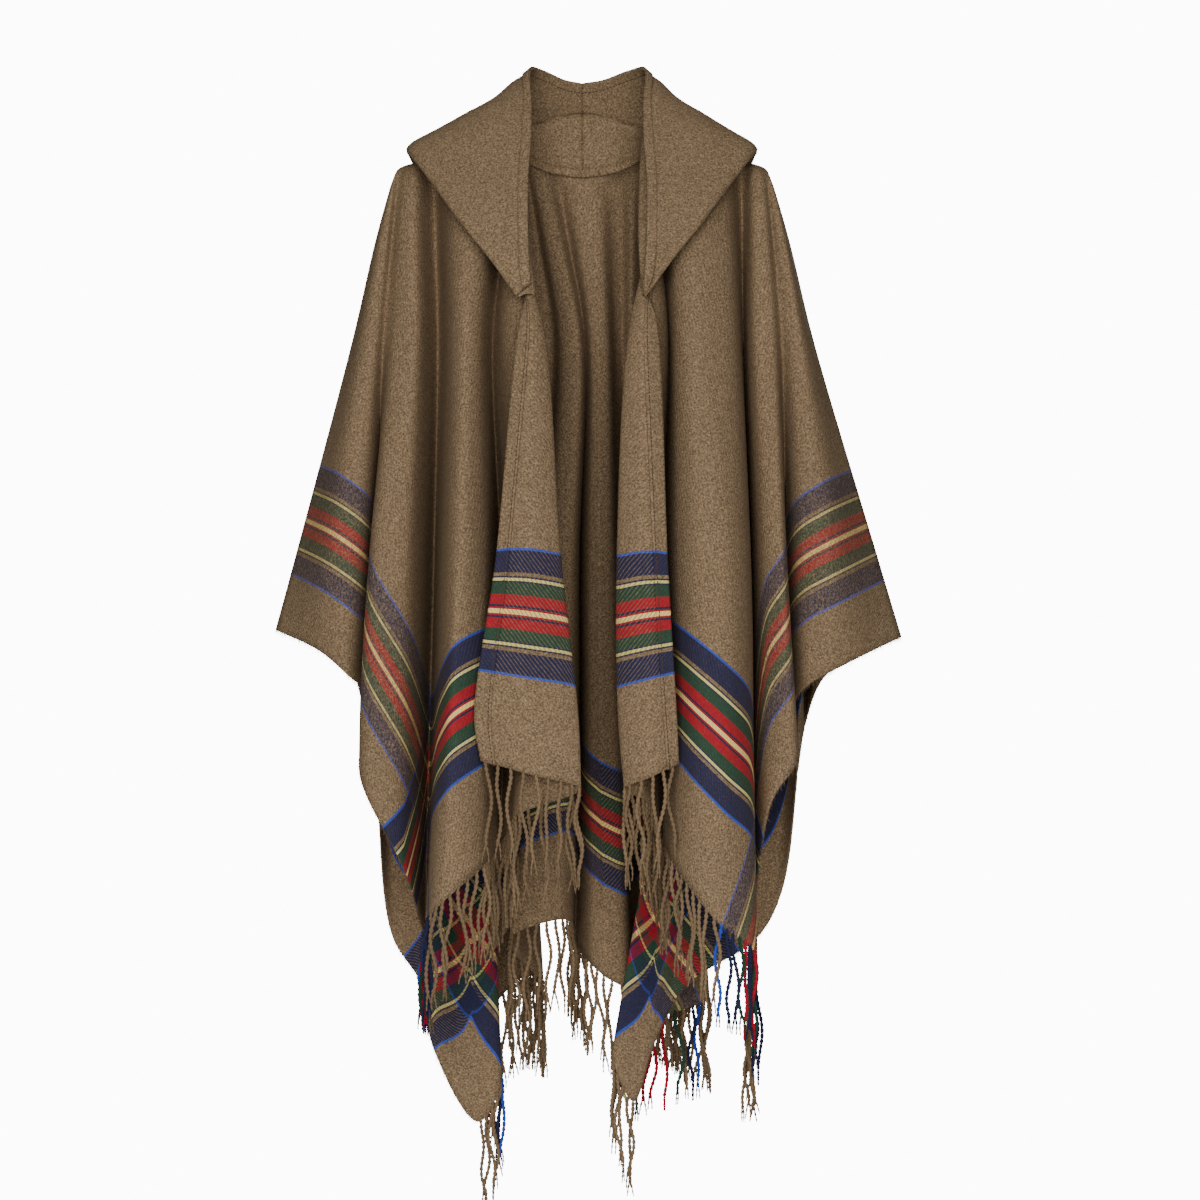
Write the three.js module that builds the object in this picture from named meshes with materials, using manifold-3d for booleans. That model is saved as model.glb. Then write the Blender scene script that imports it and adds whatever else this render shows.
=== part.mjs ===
// Hooded cape: a fringed blanket cloth with a front slit, worn over the shoulders, and a two-piece hood.
// Millimetres, +Z up, +X to the viewer's right, front towards -Y. The origin is between the shoulders.
import * as THREE from 'three';
import Module from 'manifold-3d';
import { mergeVertices } from 'three/addons/utils/BufferGeometryUtils.js';

const wasm = await Module();
wasm.setup();

// Driving dimensions of the flat cloth
const FRONT_LENGTH = 675;
const FRONT_END = -FRONT_LENGTH;
const BACK_LENGTH = 825;
const NECK_SIDE = 70;
const SHOULDER_TIP = 190;
const NECK_FRONT = -205;
const NECK_BACK = 50;
const CLOTH = 1.4;
const SEAM_GAP = 0.3;

// Trim and fringe
const OPENING_HEM_WIDTH = 13;
const HOOD_HEM_WIDTH = 10;
const TRIM_THICKNESS = 1.4;
const BINDING_WIDTH = 8;
const STRAND_PITCH = 14;
const STRAND_LENGTH = 104;
const STRAND_RADIUS = 1.9;
const ROOT_STRIP_HEIGHT = 3;
const STRIP_GAP = 1.8;
const HEM_INSET = 0.97;
const FRINGE_TOLERANCE = 0.3;
const STRAND_SWAY = 4;
const STRAND_ROOT = 1.5;
const STRAND_RINGS = [
  { down: 0, width: 0.6, bend: 0 },
  { down: 0.45, width: 1, bend: 1 },
  { down: 1, width: 0.8, bend: 0.4 },
];
const ROOT_STRIP_THICKNESS = 2;
const OPENING_HEM_START = 0.15;
const TRIM_CLEAR = 0.3;
const BINDING_CLEAR = 2.6;
const BINDING_STEPS = 8;

// Heights of the sections through the folds
const YOKE_HEIGHT = -70;
const CHEST_HEIGHT = -170;
const WAIST_HEIGHT = -390;
const LOW_HEIGHT = -540;
const YOKE_ROOM = 25;
const YOKE_SPREAD = 0.85;
const YOKE_FULLNESS = 0.42;
const SHOULDER_DROP = 9;

// Mesh density: columns between two fold rows, and stations from the shoulder to the edge
const COLUMNS_PER_FOLD = 3;
const STATIONS = [0, 0.06, 0.15, 0.27, 0.41, 0.56, 0.71, 0.86, 1];

// Fold rows. Each follows one crest, valley or edge of the cloth from the shoulder down:
// chest, waist and low give [x, y] at those heights, end gives [x, y, z] at the cloth's edge,
// and cut gives that end's place [across, along] on the flat cloth. neck is where a row starts on the
// neckline, from 0 at its middle to 1 at the side; a row without it starts on the shoulder.
const LEFT_FRONT = [
  { fold: 'opening_edge', neck: 0, chest: [-60, -137], waist: [-81, -175], low: [-102, -168],
    end: [-96, -160, -584], cut: [0, -675] },
  { fold: 'revers_middle', neck: 0.1, chest: [-48, -143], waist: [-51, -183], low: [-51, -178],
    end: [-46, -170, -598], cut: [45, -675] },
  { fold: 'revers_roll', neck: 0.2, chest: [-36, -130], waist: [-19, -162], low: [-2, -160],
    end: [1, -154, -612], cut: [99, -675] },
  { fold: 'behind_revers', neck: 0.42, chest: [-62, -108], waist: [-50, -142], low: [-52, -140],
    end: [-60, -140, -636], cut: [155, -675] },
  { fold: 'neck_side', neck: 0.72, chest: [-78, -84], waist: [-62, -98], low: [-62, -96],
    end: [-70, -98, -655], cut: [225, -675] },
  { fold: 'revers_valley', chest: [-87, -66], waist: [-74, -52], low: [-72, -48],
    end: [-78, -56, -672], cut: [290, -675] },
  { fold: 'panel_right', chest: [-99, -96], waist: [-93, -138], low: [-93, -144],
    end: [-95, -134, -688], cut: [424, -675] },
  { fold: 'panel_crest', chest: [-113, -108], waist: [-116, -166], low: [-122, -172],
    end: [-124, -158, -712], cut: [462, -675] },
  { fold: 'panel_left', chest: [-131, -92], waist: [-139, -146], low: [-145, -150],
    end: [-152, -138, -734], cut: [500, -675] },
  { fold: 'corner_valley', chest: [-146, -44], waist: [-153, -12], low: [-156, 0],
    end: [-154, 8, -768], cut: [680, -675] },
  { fold: 'side_panel_right', chest: [-160, -62], waist: [-163, -98], low: [-165, -102],
    end: [-169, -100, -690], cut: [680, -510] },
  { fold: 'side_panel_left', chest: [-183, -58], waist: [-204, -104], low: [-214, -110],
    end: [-216, -105, -603], cut: [680, -412] },
  { fold: 'arm_valley', chest: [-196, -42], waist: [-202, -12],
    end: [-204, 4, -552], cut: [680, -272] },
  { fold: 'arm_right', chest: [-204, -50], waist: [-218, -72],
    end: [-227, -70, -520], cut: [680, -165] },
  { fold: 'arm_crest', chest: [-216, -46], waist: [-246, -74],
    end: [-255, -62, -482], cut: [680, -72] },
  { fold: 'arm_side', chest: [-229, 0], waist: [-287, 0],
    end: [-306, 0, -460], cut: [680, 0] },
];

const LEFT_BACK = [
  { fold: 'arm_side', chest: [-229, 0], waist: [-287, 0],
    end: [-306, 0, -460], cut: [680, 0] },
  { fold: 'sleeve_outer', chest: [-224, 42], waist: [-266, 84],
    end: [-266, 100, -470], cut: [680, 120] },
  { fold: 'sleeve_inner', chest: [-214, 52], waist: [-236, 52],
    end: [-230, 26, -502], cut: [680, 240] },
  { fold: 'side_outer', chest: [-202, 76], waist: [-224, 116], low: [-222, 118],
    end: [-222, 112, -565], cut: [680, 360] },
  { fold: 'side_inner', chest: [-188, 72], waist: [-212, 62], low: [-212, 56],
    end: [-208, 44, -612], cut: [680, 440] },
  { fold: 'lobe_crest', chest: [-184, 88], waist: [-204, 110], low: [-200, 98],
    end: [-194, 64, -770], cut: [680, 590] },
  { fold: 'lobe_inner', chest: [-168, 82], waist: [-176, 78], low: [-174, 64],
    end: [-163, 70, -822], cut: [680, 655] },
  { fold: 'corner_outer', chest: [-154, 94], waist: [-160, 128], low: [-158, 122],
    end: [-153, 76, -884], cut: [680, 730] },
  { fold: 'corner_point', chest: [-138, 82], waist: [-134, 88], low: [-128, 84],
    end: [-106, 66, -962], cut: [680, 825] },
  { fold: 'corner_turn', chest: [-122, 92], waist: [-106, 122], low: [-98, 110],
    end: [-82, 74, -920], cut: [627, 825] },
  { fold: 'back_outer', chest: [-106, 100], waist: [-112, 168], low: [-114, 166],
    end: [-100, 150, -865], cut: [520, 825] },
  { fold: 'back_inner', neck: 0.86, chest: [-64, 84], waist: [-80, 104], low: [-66, 128],
    end: [-60, 176, -822], cut: [430, 825] },
  { fold: 'ridge_valley', neck: 0.71, chest: [-32, 100], waist: [-56, 160], low: [-58, 160],
    end: [-40, 150, -828], cut: [340, 825] },
  { fold: 'ridge_left', neck: 0.57, chest: [-20, 68], waist: [-34, 60], low: [-46, 54],
    end: [-73, 30, -769], cut: [250, 825] },
  { fold: 'ridge_right', neck: 0.43, chest: [-4, 60], waist: [-10, 52], low: [-13, 50],
    end: [-20, 38, -752], cut: [180, 825] },
  { fold: 'centre_valley', neck: 0.29, chest: [3, 84], waist: [-3, 138], low: [-3, 142],
    end: [-8, 146, -785], cut: [100, 825] },
  { fold: 'centre_left', neck: 0.14, chest: [9, 60], waist: [6, 52], low: [6, 56],
    end: [8, 74, -800], cut: [27, 825] },
  { fold: 'centre_back', neck: 0.0, chest: [16, 55], waist: [17, 42], low: [18, 46],
    end: [24, 66, -814], cut: [0, 825] },
];

const RIGHT_FRONT = [
  { fold: 'opening_edge', neck: 0, chest: [73, -131], waist: [82, -165], low: [91, -160],
    end: [93, -152, -587], cut: [0, -675] },
  { fold: 'revers_middle', neck: 0.1, chest: [60, -139], waist: [59, -173], low: [63, -168],
    end: [67, -161, -600], cut: [30, -675] },
  { fold: 'revers_roll', neck: 0.2, chest: [46, -128], waist: [34, -154], low: [35, -149],
    end: [41, -144, -612], cut: [60, -675] },
  { fold: 'behind_revers', neck: 0.46, chest: [70, -108], waist: [54, -134], low: [56, -132],
    end: [62, -130, -624], cut: [110, -675] },
  { fold: 'neck_side', neck: 0.72, chest: [82, -84], waist: [66, -98], low: [67, -94],
    end: [72, -92, -642], cut: [185, -675] },
  { fold: 'revers_valley', chest: [86, -68], waist: [72, -62], low: [74, -52],
    end: [76, -52, -660], cut: [262, -675] },
  { fold: 'panel_left', chest: [92, -96], waist: [90, -122], low: [92, -128],
    end: [86, -122, -680], cut: [405, -675] },
  { fold: 'panel_crest', chest: [106, -110], waist: [112, -154], low: [112, -162],
    end: [105, -152, -708], cut: [452, -675] },
  { fold: 'panel_middle', chest: [126, -104], waist: [140, -154], low: [142, -162],
    end: [134, -158, -743], cut: [500, -675] },
  { fold: 'panel_right', chest: [150, -80], waist: [160, -122], low: [163, -128],
    end: [168, -130, -770], cut: [568, -675] },
  { fold: 'corner_valley', chest: [161, -36], waist: [165, -8], low: [164, -10],
    end: [160, -20, -856], cut: [680, -675] },
  { fold: 'side_panel_left', chest: [170, -58], waist: [178, -90], low: [182, -94],
    end: [184, -90, -630], cut: [680, -430] },
  { fold: 'side_panel_right', chest: [188, -60], waist: [197, -102], low: [207, -104],
    end: [211, -95, -588], cut: [680, -372] },
  { fold: 'arm_valley', chest: [197, -42], waist: [203, -12],
    end: [205, 0, -546], cut: [680, -258] },
  { fold: 'arm_left', chest: [206, -50], waist: [216, -72],
    end: [222, -64, -514], cut: [680, -160] },
  { fold: 'arm_crest', chest: [216, -52], waist: [246, -80],
    end: [258, -62, -494], cut: [680, -76] },
  { fold: 'arm_side', chest: [231, 0], waist: [296, 0],
    end: [319, 0, -467], cut: [680, 0] },
];

const RIGHT_BACK = [
  { fold: 'arm_side', chest: [231, 0], waist: [296, 0],
    end: [319, 0, -467], cut: [680, 0] },
  { fold: 'sleeve_outer', chest: [226, 42], waist: [274, 84],
    end: [280, 96, -482], cut: [680, 110] },
  { fold: 'sleeve_inner', chest: [216, 54], waist: [242, 48],
    end: [240, 24, -512], cut: [680, 220] },
  { fold: 'side_outer', chest: [204, 78], waist: [230, 112], low: [229, 110],
    end: [228, 105, -560], cut: [680, 320] },
  { fold: 'side_inner', chest: [192, 72], waist: [220, 58], low: [221, 50],
    end: [218, 40, -600], cut: [680, 400] },
  { fold: 'lobe_crest', chest: [184, 88], waist: [206, 104], low: [206, 98],
    end: [204, 66, -722], cut: [680, 525] },
  { fold: 'lobe_inner', chest: [169, 82], waist: [180, 76], low: [182, 68],
    end: [178, 75, -775], cut: [680, 590] },
  { fold: 'corner_outer', chest: [154, 96], waist: [162, 132], low: [152, 132],
    end: [105, 70, -822], cut: [680, 690] },
  { fold: 'corner_inner', chest: [140, 84], waist: [138, 90], low: [126, 86],
    end: [72, 56, -882], cut: [680, 760] },
  { fold: 'corner_point', chest: [125, 96], waist: [118, 132], low: [108, 104],
    end: [52, 40, -938], cut: [680, 825] },
  { fold: 'corner_turn', chest: [110, 86], waist: [98, 98], low: [88, 84],
    end: [30, 42, -880], cut: [620, 825] },
  { fold: 'back_outer', chest: [96, 106], waist: [100, 170], low: [112, 174],
    end: [134, 182, -846], cut: [470, 825] },
  { fold: 'back_inner', neck: 0.86, chest: [78, 90], waist: [76, 108], low: [84, 120],
    end: [106, 170, -838], cut: [410, 825] },
  { fold: 'back_crest', neck: 0.71, chest: [64, 108], waist: [70, 176], low: [76, 184],
    end: [98, 190, -828], cut: [345, 825] },
  { fold: 'slope_inner', neck: 0.57, chest: [50, 84], waist: [56, 104], low: [64, 108],
    end: [80, 118, -816], cut: [265, 825] },
  { fold: 'slope_outer', neck: 0.43, chest: [42, 98], waist: [48, 166], low: [54, 176],
    end: [66, 185, -812], cut: [185, 825] },
  { fold: 'centre_valley', neck: 0.29, chest: [34, 90], waist: [37, 118], low: [42, 126],
    end: [54, 140, -822], cut: [110, 825] },
  { fold: 'centre_right', neck: 0.14, chest: [25, 60], waist: [30, 52], low: [34, 56],
    end: [46, 76, -826], cut: [27, 825] },
  { fold: 'centre_back', neck: 0.0, chest: [16, 55], waist: [17, 42], low: [18, 46],
    end: [24, 66, -814], cut: [0, 825] },
];

// Curves over the neck and shoulders, from [x, y, z] points; x is mirrored for the right half
const SHOULDER_CURVE = [[-65, 0, 20], [-120, 0, 15], [-166, 0, 7], [-184, 0, 0], [-188, 0, -10]];
const NECK_BACK_CURVE = [[-65, 0, 20], [-56, 27, 10], [-32, 44, -3], [0, 50, -9]];
const LEFT_NECK_FRONT = [[-52, -118, -138], [-58, -98, -96], [-63, -58, -36], [-65, -20, 8], [-65, 0, 20]];
const RIGHT_NECK_FRONT = [[66, -118, -138], [64, -98, -96], [64, -58, -36], [65, -20, 8], [65, 0, 20]];

// Hood guides from the front of the neck round to the centre back, for the left half:
// fold is the outer, lower turn of the hood and mouth is its front edge
const HOOD_FOLD = [[-61, -127, -135], [-84, -116, -100], [-112, -99, -62], [-142, -66, -18], [-168, -26, 17],
  [-164, 40, 9], [-136, 94, -42], [-92, 122, -92], [-44, 132, -118], [0, 134, -126]];
const HOOD_MOUTH = [[-49, -131, -124], [-51, -126, -92], [-52, -112, -56], [-52, -86, -16], [-50, -56, 26],
  [-50, -22, 64], [-50, 12, 93], [-36, 38, 99], [-16, 58, 93], [0, 66, 89]];
// Directions at the front of the neck, its side and the centre back: out of the cloth, and of the stand
const HOOD_LAYER_NORMAL = [[0, -0.76, 0.65], [0, -0.1, 1], [0, 1, 0.1]];
const HOOD_STAND_DIRECTION = [[0.8, -0.45, 0.4], [0.08, -0.15, 0.98], [0, 0.1, 1]];
const HOOD_SECTIONS = 12;
const HOOD_ROWS = 13;
const HOOD_FOLD_HEIGHT = 13;
const HOOD_STAND_FRONT = 5;
const HOOD_STAND_SIDE = 20;
const HOOD_STAND_BACK = 60;
// Ridge from the top of the mouth to the hood's outer corner: its height, place and width along the hood
const RIDGE_LIFT = 21;
const RIDGE_PLACE = 0.53;
const RIDGE_WIDTH = 0.1;
const HOOD_UNDER_LIFT = 2;
const UNDER_PLACE = 0.55;
const OVER_PLACE = 0.5;
const OVER_LIFT = 0.9;
const FOLD_ROUNDNESS = 0.8;
const HOOD_SEAT = CLOTH / 2 + SEAM_GAP + 0.4;
const HOOD_SEAT_FRONT = 3.2;
const SEAM_HALF = 0.35;
const HOOD_TRIM = 0.1;
const HOOD_SIDE_TRIM = 0.5;

// Numerical limits
const SAME_POINT = 0.002;
const EXACT = 1e-4;
const SEARCH_STEPS = 40;

const CAMEL = { color: 0x87735f, roughness: 0.95 };

const vector = (p) => new THREE.Vector3(p[0], p[1], p[2]);
const mirrored = (points) => points.map(([x, y, z]) => [-x, y, z]);

// A smooth curve through points that turns without overshoot
function smooth(points) {
  return new THREE.CatmullRomCurve3(points.map(vector), false, 'centripetal');
}

// Point on a curve through four neighbours, between the middle two
function between(p0, p1, p2, p3, f) {
  const gap = (a, b) => Math.max(Math.sqrt(a.distanceTo(b)), 0.4);
  const t1 = gap(p0, p1);
  const t2 = t1 + gap(p1, p2);
  const t3 = t2 + gap(p2, p3);
  const t = t1 + (t2 - t1) * f;
  const mix = (a, b, ta, tb) => a.clone().lerp(b, (t - ta) / (tb - ta));
  const a1 = mix(p0, p1, 0, t1);
  const a2 = mix(p1, p2, t1, t2);
  const a3 = mix(p2, p3, t2, t3);
  return mix(mix(a1, a2, 0, t2), mix(a2, a3, t1, t3), t1, t2);
}

// One panel of cloth between its first and last fold row, hung from the neck and shoulder
function drapedPanel(rows, neckCurve, shoulderCurve, neckFlat) {
  const fromShoulder = rows.filter((row) => row.neck === undefined).length;
  const shoulderFirst = rows[0].neck === undefined;
  const neckCount = rows.length - fromShoulder;
  const firstShoulder = shoulderFirst ? 0 : neckCount;

  // Start of a column: its place on the shoulder or neckline, in space and on the flat cloth
  function startOf(column) {
    const along = (column - firstShoulder) / (fromShoulder - 1);
    if (along >= 0 && along <= 1) {
      const outward = shoulderFirst ? 1 - along : along;
      return {
        place: shoulderCurve.getPoint(outward),
        flat: [NECK_SIDE + (SHOULDER_TIP - NECK_SIDE) * outward, 0],
      };
    }
    const low = Math.min(Math.floor(column), rows.length - 2);
    const [from, to] = [rows[low].neck ?? 1, rows[low + 1].neck ?? 1];
    const toSide = THREE.MathUtils.lerp(from, to, column - low);
    const angle = toSide * Math.PI / 2;
    return {
      place: neckCurve.getPoint(toSide),
      flat: [NECK_SIDE * Math.sin(angle), neckFlat * Math.cos(angle)],
    };
  }

  const lines = rows.map((row, index) => {
    const start = startOf(index).place;
    const chest = new THREE.Vector3(row.chest[0], row.chest[1], CHEST_HEIGHT);
    const points = [start];
    if (start.z > YOKE_HEIGHT + YOKE_ROOM) {
      for (const height of [start.z - SHOULDER_DROP, YOKE_HEIGHT]) {
        const down = (start.z - height) / (start.z - CHEST_HEIGHT);
        points.push(new THREE.Vector3(
          THREE.MathUtils.lerp(start.x, chest.x, down ** YOKE_SPREAD),
          THREE.MathUtils.lerp(start.y, chest.y, down ** YOKE_FULLNESS),
          height));
      }
    }
    points.push(chest, new THREE.Vector3(row.waist[0], row.waist[1], WAIST_HEIGHT));
    if (row.low) points.push(new THREE.Vector3(row.low[0], row.low[1], LOW_HEIGHT));
    points.push(vector(row.end));
    return new THREE.CatmullRomCurve3(points, false, 'centripetal');
  });

  function placeAt(column, station) {
    if (station === 0) return startOf(column).place;
    const low = Math.min(Math.floor(column), rows.length - 2);
    const pick = (index) => lines[THREE.MathUtils.clamp(index, 0, rows.length - 1)].getPointAt(station);
    const before = low > 0 ? pick(low - 1) : pick(low).multiplyScalar(2).sub(pick(low + 1));
    const after = low + 2 < rows.length ? pick(low + 2) : pick(low + 1).multiplyScalar(2).sub(pick(low));
    return between(before, pick(low), pick(low + 1), after, column - low);
  }

  function flatAt(column, station) {
    const low = Math.min(Math.floor(column), rows.length - 2);
    const f = column - low;
    const [here, next] = [rows[low].cut, rows[low + 1].cut];
    const end = [0, 1].map((axis) => THREE.MathUtils.lerp(here[axis], next[axis], f));
    const start = startOf(column).flat;
    return [0, 1].map((axis) => THREE.MathUtils.lerp(start[axis], end[axis], station));
  }

  return { placeAt, flatAt, last: rows.length - 1 };
}

const halves = [
  {
    name: 'left',
    side: -1,
    front: LEFT_FRONT,
    back: LEFT_BACK,
    neckFront: LEFT_NECK_FRONT,
    mirror: (points) => points,
  },
  {
    name: 'right',
    side: 1,
    front: RIGHT_FRONT,
    back: RIGHT_BACK,
    neckFront: RIGHT_NECK_FRONT,
    mirror: mirrored,
  },
].map((half) => {
  const shoulder = smooth(half.mirror(SHOULDER_CURVE));
  const neckFront = smooth(half.neckFront);
  const neckBack = smooth([...half.mirror(NECK_BACK_CURVE)].reverse());
  return {
    ...half,
    frontPanel: drapedPanel(half.front, neckFront, shoulder, NECK_FRONT),
    backPanel: drapedPanel(half.back, neckBack, shoulder, NECK_BACK),
    neckFront, neckBack,
    hoodFold: smooth(half.mirror(HOOD_FOLD)),
    hoodMouth: smooth(half.mirror(HOOD_MOUTH)),
  };
});

// Grid of points for a panel
function panelGrid(panel, stations = STATIONS, perFold = COLUMNS_PER_FOLD) {
  const columns = panel.last * perFold;
  const grid = [];
  for (let c = 0; c <= columns; c += 1) {
    grid.push(stations.map((station) => panel.placeAt(c / perFold, station)));
  }
  return grid;
}

// Sheets are collected as points with normals and triangles, equal points being one
function newSheet() {
  return { points: [], normals: [], triangles: [], seen: new Map() };
}

function pointIndex(sheet, p) {
  const key = [p.x, p.y, p.z].map((value) => Math.round(value / SAME_POINT)).join(',');
  if (!sheet.seen.has(key)) {
    sheet.seen.set(key, sheet.points.length);
    sheet.points.push(p.clone());
    sheet.normals.push(new THREE.Vector3());
  }
  return sheet.seen.get(key);
}

// Direction through a point from its neighbours, each counting the same, square to a line if one is given
function through(before, here, after, squareTo = new THREE.Vector3()) {
  const steps = [];
  if (before) steps.push(here.clone().sub(before));
  if (after) steps.push(after.clone().sub(here));
  const direction = new THREE.Vector3();
  for (const step of steps) direction.add(step.addScaledVector(squareTo, -step.dot(squareTo)).normalize());
  return direction.normalize();
}

function addGrid(sheet, grid, flip) {
  const at = grid.map((line) => line.map((p) => pointIndex(sheet, p)));
  grid.forEach((line, i) => line.forEach((p, j) => {
    const along = through(line[j - 1], p, line[j + 1]);
    const across = through(grid[i - 1]?.[j], p, grid[i + 1]?.[j], along);
    sheet.normals[at[i][j]].addScaledVector(along.cross(across).normalize(), flip ? -1 : 1);
  }));
  const add = (a, b, c) => {
    if (a === b || b === c || a === c) return;
    sheet.triangles.push(flip ? [a, c, b] : [a, b, c]);
  };
  for (let i = 0; i + 1 < grid.length; i += 1) {
    for (let j = 0; j + 1 < grid[i].length; j += 1) {
      if (grid[i][j].distanceTo(grid[i + 1][j + 1]) < grid[i][j + 1].distanceTo(grid[i + 1][j])) {
        add(at[i][j], at[i][j + 1], at[i + 1][j + 1]);
        add(at[i][j], at[i + 1][j + 1], at[i + 1][j]);
      } else {
        add(at[i][j], at[i][j + 1], at[i + 1][j]);
        add(at[i][j + 1], at[i + 1][j + 1], at[i + 1][j]);
      }
    }
  }
}

// Closed wall from a sheet: its points moved to both sides, and its free edges joined
function wallGeometry(sheet, inner, outer) {
  const normals = sheet.normals.map((n) => n.clone().normalize());
  const count = sheet.points.length;
  const positions = [];
  for (const offset of [outer, inner]) {
    sheet.points.forEach((p, index) => {
      const moved = p.clone().addScaledVector(normals[index], offset);
      positions.push(moved.x, moved.y, moved.z);
    });
  }
  const indices = [];
  const edges = new Map();
  for (const [a, b, c] of sheet.triangles) {
    indices.push(a, b, c, c + count, b + count, a + count);
    for (const [from, to] of [[a, b], [b, c], [c, a]]) {
      if (edges.has(`${to},${from}`)) edges.delete(`${to},${from}`);
      else edges.set(`${from},${to}`, [from, to]);
    }
  }
  for (const [from, to] of edges.values()) {
    indices.push(to, from, from + count, to, from + count, to + count);
  }
  const geometry = new THREE.BufferGeometry();
  geometry.setAttribute('position', new THREE.Float32BufferAttribute(positions, 3));
  geometry.setIndex(indices);
  geometry.computeVertexNormals();
  return geometry;
}

function clothMesh(name, geometry) {
  const material = new THREE.MeshStandardMaterial({ ...CAMEL, metalness: 0 });
  material.name = name;
  const mesh = new THREE.Mesh(geometry, material);
  mesh.name = name;
  return mesh;
}

// The whole blanket cloth with its slit and neck hole, and with a margin the space it takes up
function blanketCloth(margin = 0) {
  const sheet = newSheet();
  for (const half of halves) {
    addGrid(sheet, panelGrid(half.frontPanel), half.side > 0);
    addGrid(sheet, panelGrid(half.backPanel), half.side > 0);
  }
  return wallGeometry(sheet, -CLOTH / 2 - margin, CLOTH / 2 + margin);
}

// Value at s from three directions, at the front, side and back of the neck
function neckDirection(directions, s) {
  const at = s < 0.5 ? 0 : 1;
  return vector(directions[at]).lerp(vector(directions[at + 1]), s * 2 - at).normalize();
}

// Section of the hood at s, from the neck seam over the outer fold to the mouth
function hoodSection(half, s) {
  const neck = s < 0.5 ? half.neckFront.getPoint(s * 2) : half.neckBack.getPoint(2 - s * 2);
  const fold = half.hoodFold.getPoint(s);
  const mouth = half.hoodMouth.getPoint(s);
  const normal = neckDirection(HOOD_LAYER_NORMAL, s);
  const stand = neckDirection(HOOD_STAND_DIRECTION, s);
  stand.x *= -half.side;
  const fullness = Math.min(1, 0.35 + s * 2.2);
  const standing = s < 0.5
    ? THREE.MathUtils.lerp(HOOD_STAND_FRONT, HOOD_STAND_SIDE, s * 2)
    : THREE.MathUtils.lerp(HOOD_STAND_SIDE, HOOD_STAND_BACK, THREE.MathUtils.smoothstep(s, 0.5, 1));
  const rise = HOOD_FOLD_HEIGHT * fullness / 2;
  const seat = THREE.MathUtils.lerp(HOOD_SEAT_FRONT, HOOD_SEAT, Math.min(1, s * 2));
  const foot = neck.clone().addScaledVector(stand, seat);
  const top = neck.clone().addScaledVector(stand, seat + standing);
  const outward = fold.clone().sub(top).normalize();
  const under = top.clone().lerp(fold, UNDER_PLACE).addScaledVector(normal, HOOD_UNDER_LIFT);
  const ridge = RIDGE_LIFT * Math.exp(-(((s - RIDGE_PLACE) / RIDGE_WIDTH) ** 2));
  const over = mouth.clone().lerp(fold, OVER_PLACE).addScaledVector(normal, rise * OVER_LIFT + ridge);
  const points = [foot, top, under, fold.clone().addScaledVector(normal, -rise),
    fold.clone().addScaledVector(outward, rise * FOLD_ROUNDNESS), fold.clone().addScaledVector(normal, rise),
    over, mouth];
  return new THREE.CatmullRomCurve3(points, false, 'centripetal');
}

function hoodGrid(half, firstRow = 0, rows = HOOD_ROWS) {
  const grid = [];
  for (let i = 0; i <= HOOD_SECTIONS; i += 1) {
    const section = hoodSection(half, i / HOOD_SECTIONS);
    const hemStart = 1 - HOOD_HEM_WIDTH / section.getLength();
    const line = [];
    for (let j = firstRow; j < rows; j += 1) line.push(section.getPointAt(hemStart * j / (rows - 1)));
    line.push(section.getPointAt(1));
    if (i === HOOD_SECTIONS) line.forEach((p) => p.setX(half.side * SEAM_HALF));
    grid.push(line);
  }
  return grid;
}

// Hood half, trimmed where its seam edge comes down onto the blanket
function hoodPanel(half, keepOut) {
  const sheet = newSheet();
  addGrid(sheet, hoodGrid(half), half.side < 0);
  const wall = solidOf(wallGeometry(sheet, -CLOTH / 2, CLOTH / 2));
  return geometryOf(largestPiece(wall.subtract(keepOut)));
}

// Turned hem inside the hood's mouth, made from the hood's own sections
function hoodHem(half) {
  const sheet = newSheet();
  addGrid(sheet, hoodGrid(half, HOOD_ROWS - 1), half.side < 0);
  const under = -CLOTH / 2 - SEAM_GAP - TRIM_CLEAR;
  return wallGeometry(sheet, under - TRIM_THICKNESS, under);
}

// Column of a panel where the flat cloth is at this distance from the slit
function columnAcross(panel, across, station) {
  let low = 0;
  let high = panel.last;
  const rising = panel.flatAt(high, station)[0] > panel.flatAt(low, station)[0];
  for (let step = 0; step < SEARCH_STEPS; step += 1) {
    const middle = (low + high) / 2;
    if ((panel.flatAt(middle, station)[0] < across) === rising) low = middle;
    else high = middle;
  }
  return (low + high) / 2;
}

// Turned and stitched hem along an opening edge, on the side of the cloth that faces out there
function openingHem(half) {
  const sheet = newSheet();
  const stations = STATIONS.filter((station) => station >= OPENING_HEM_START);
  const inner = stations.map((station) => half.frontPanel.placeAt(0, station));
  const middle = stations.map((station) => half.frontPanel.placeAt(
    columnAcross(half.frontPanel, OPENING_HEM_WIDTH / 2, station), station));
  const outer = stations.map((station) => half.frontPanel.placeAt(
    columnAcross(half.frontPanel, OPENING_HEM_WIDTH, station), station));
  addGrid(sheet, [inner, middle, outer], half.side > 0);
  const over = CLOTH / 2 + SEAM_GAP + TRIM_CLEAR;
  return wallGeometry(sheet, over, over + TRIM_THICKNESS);
}

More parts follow.
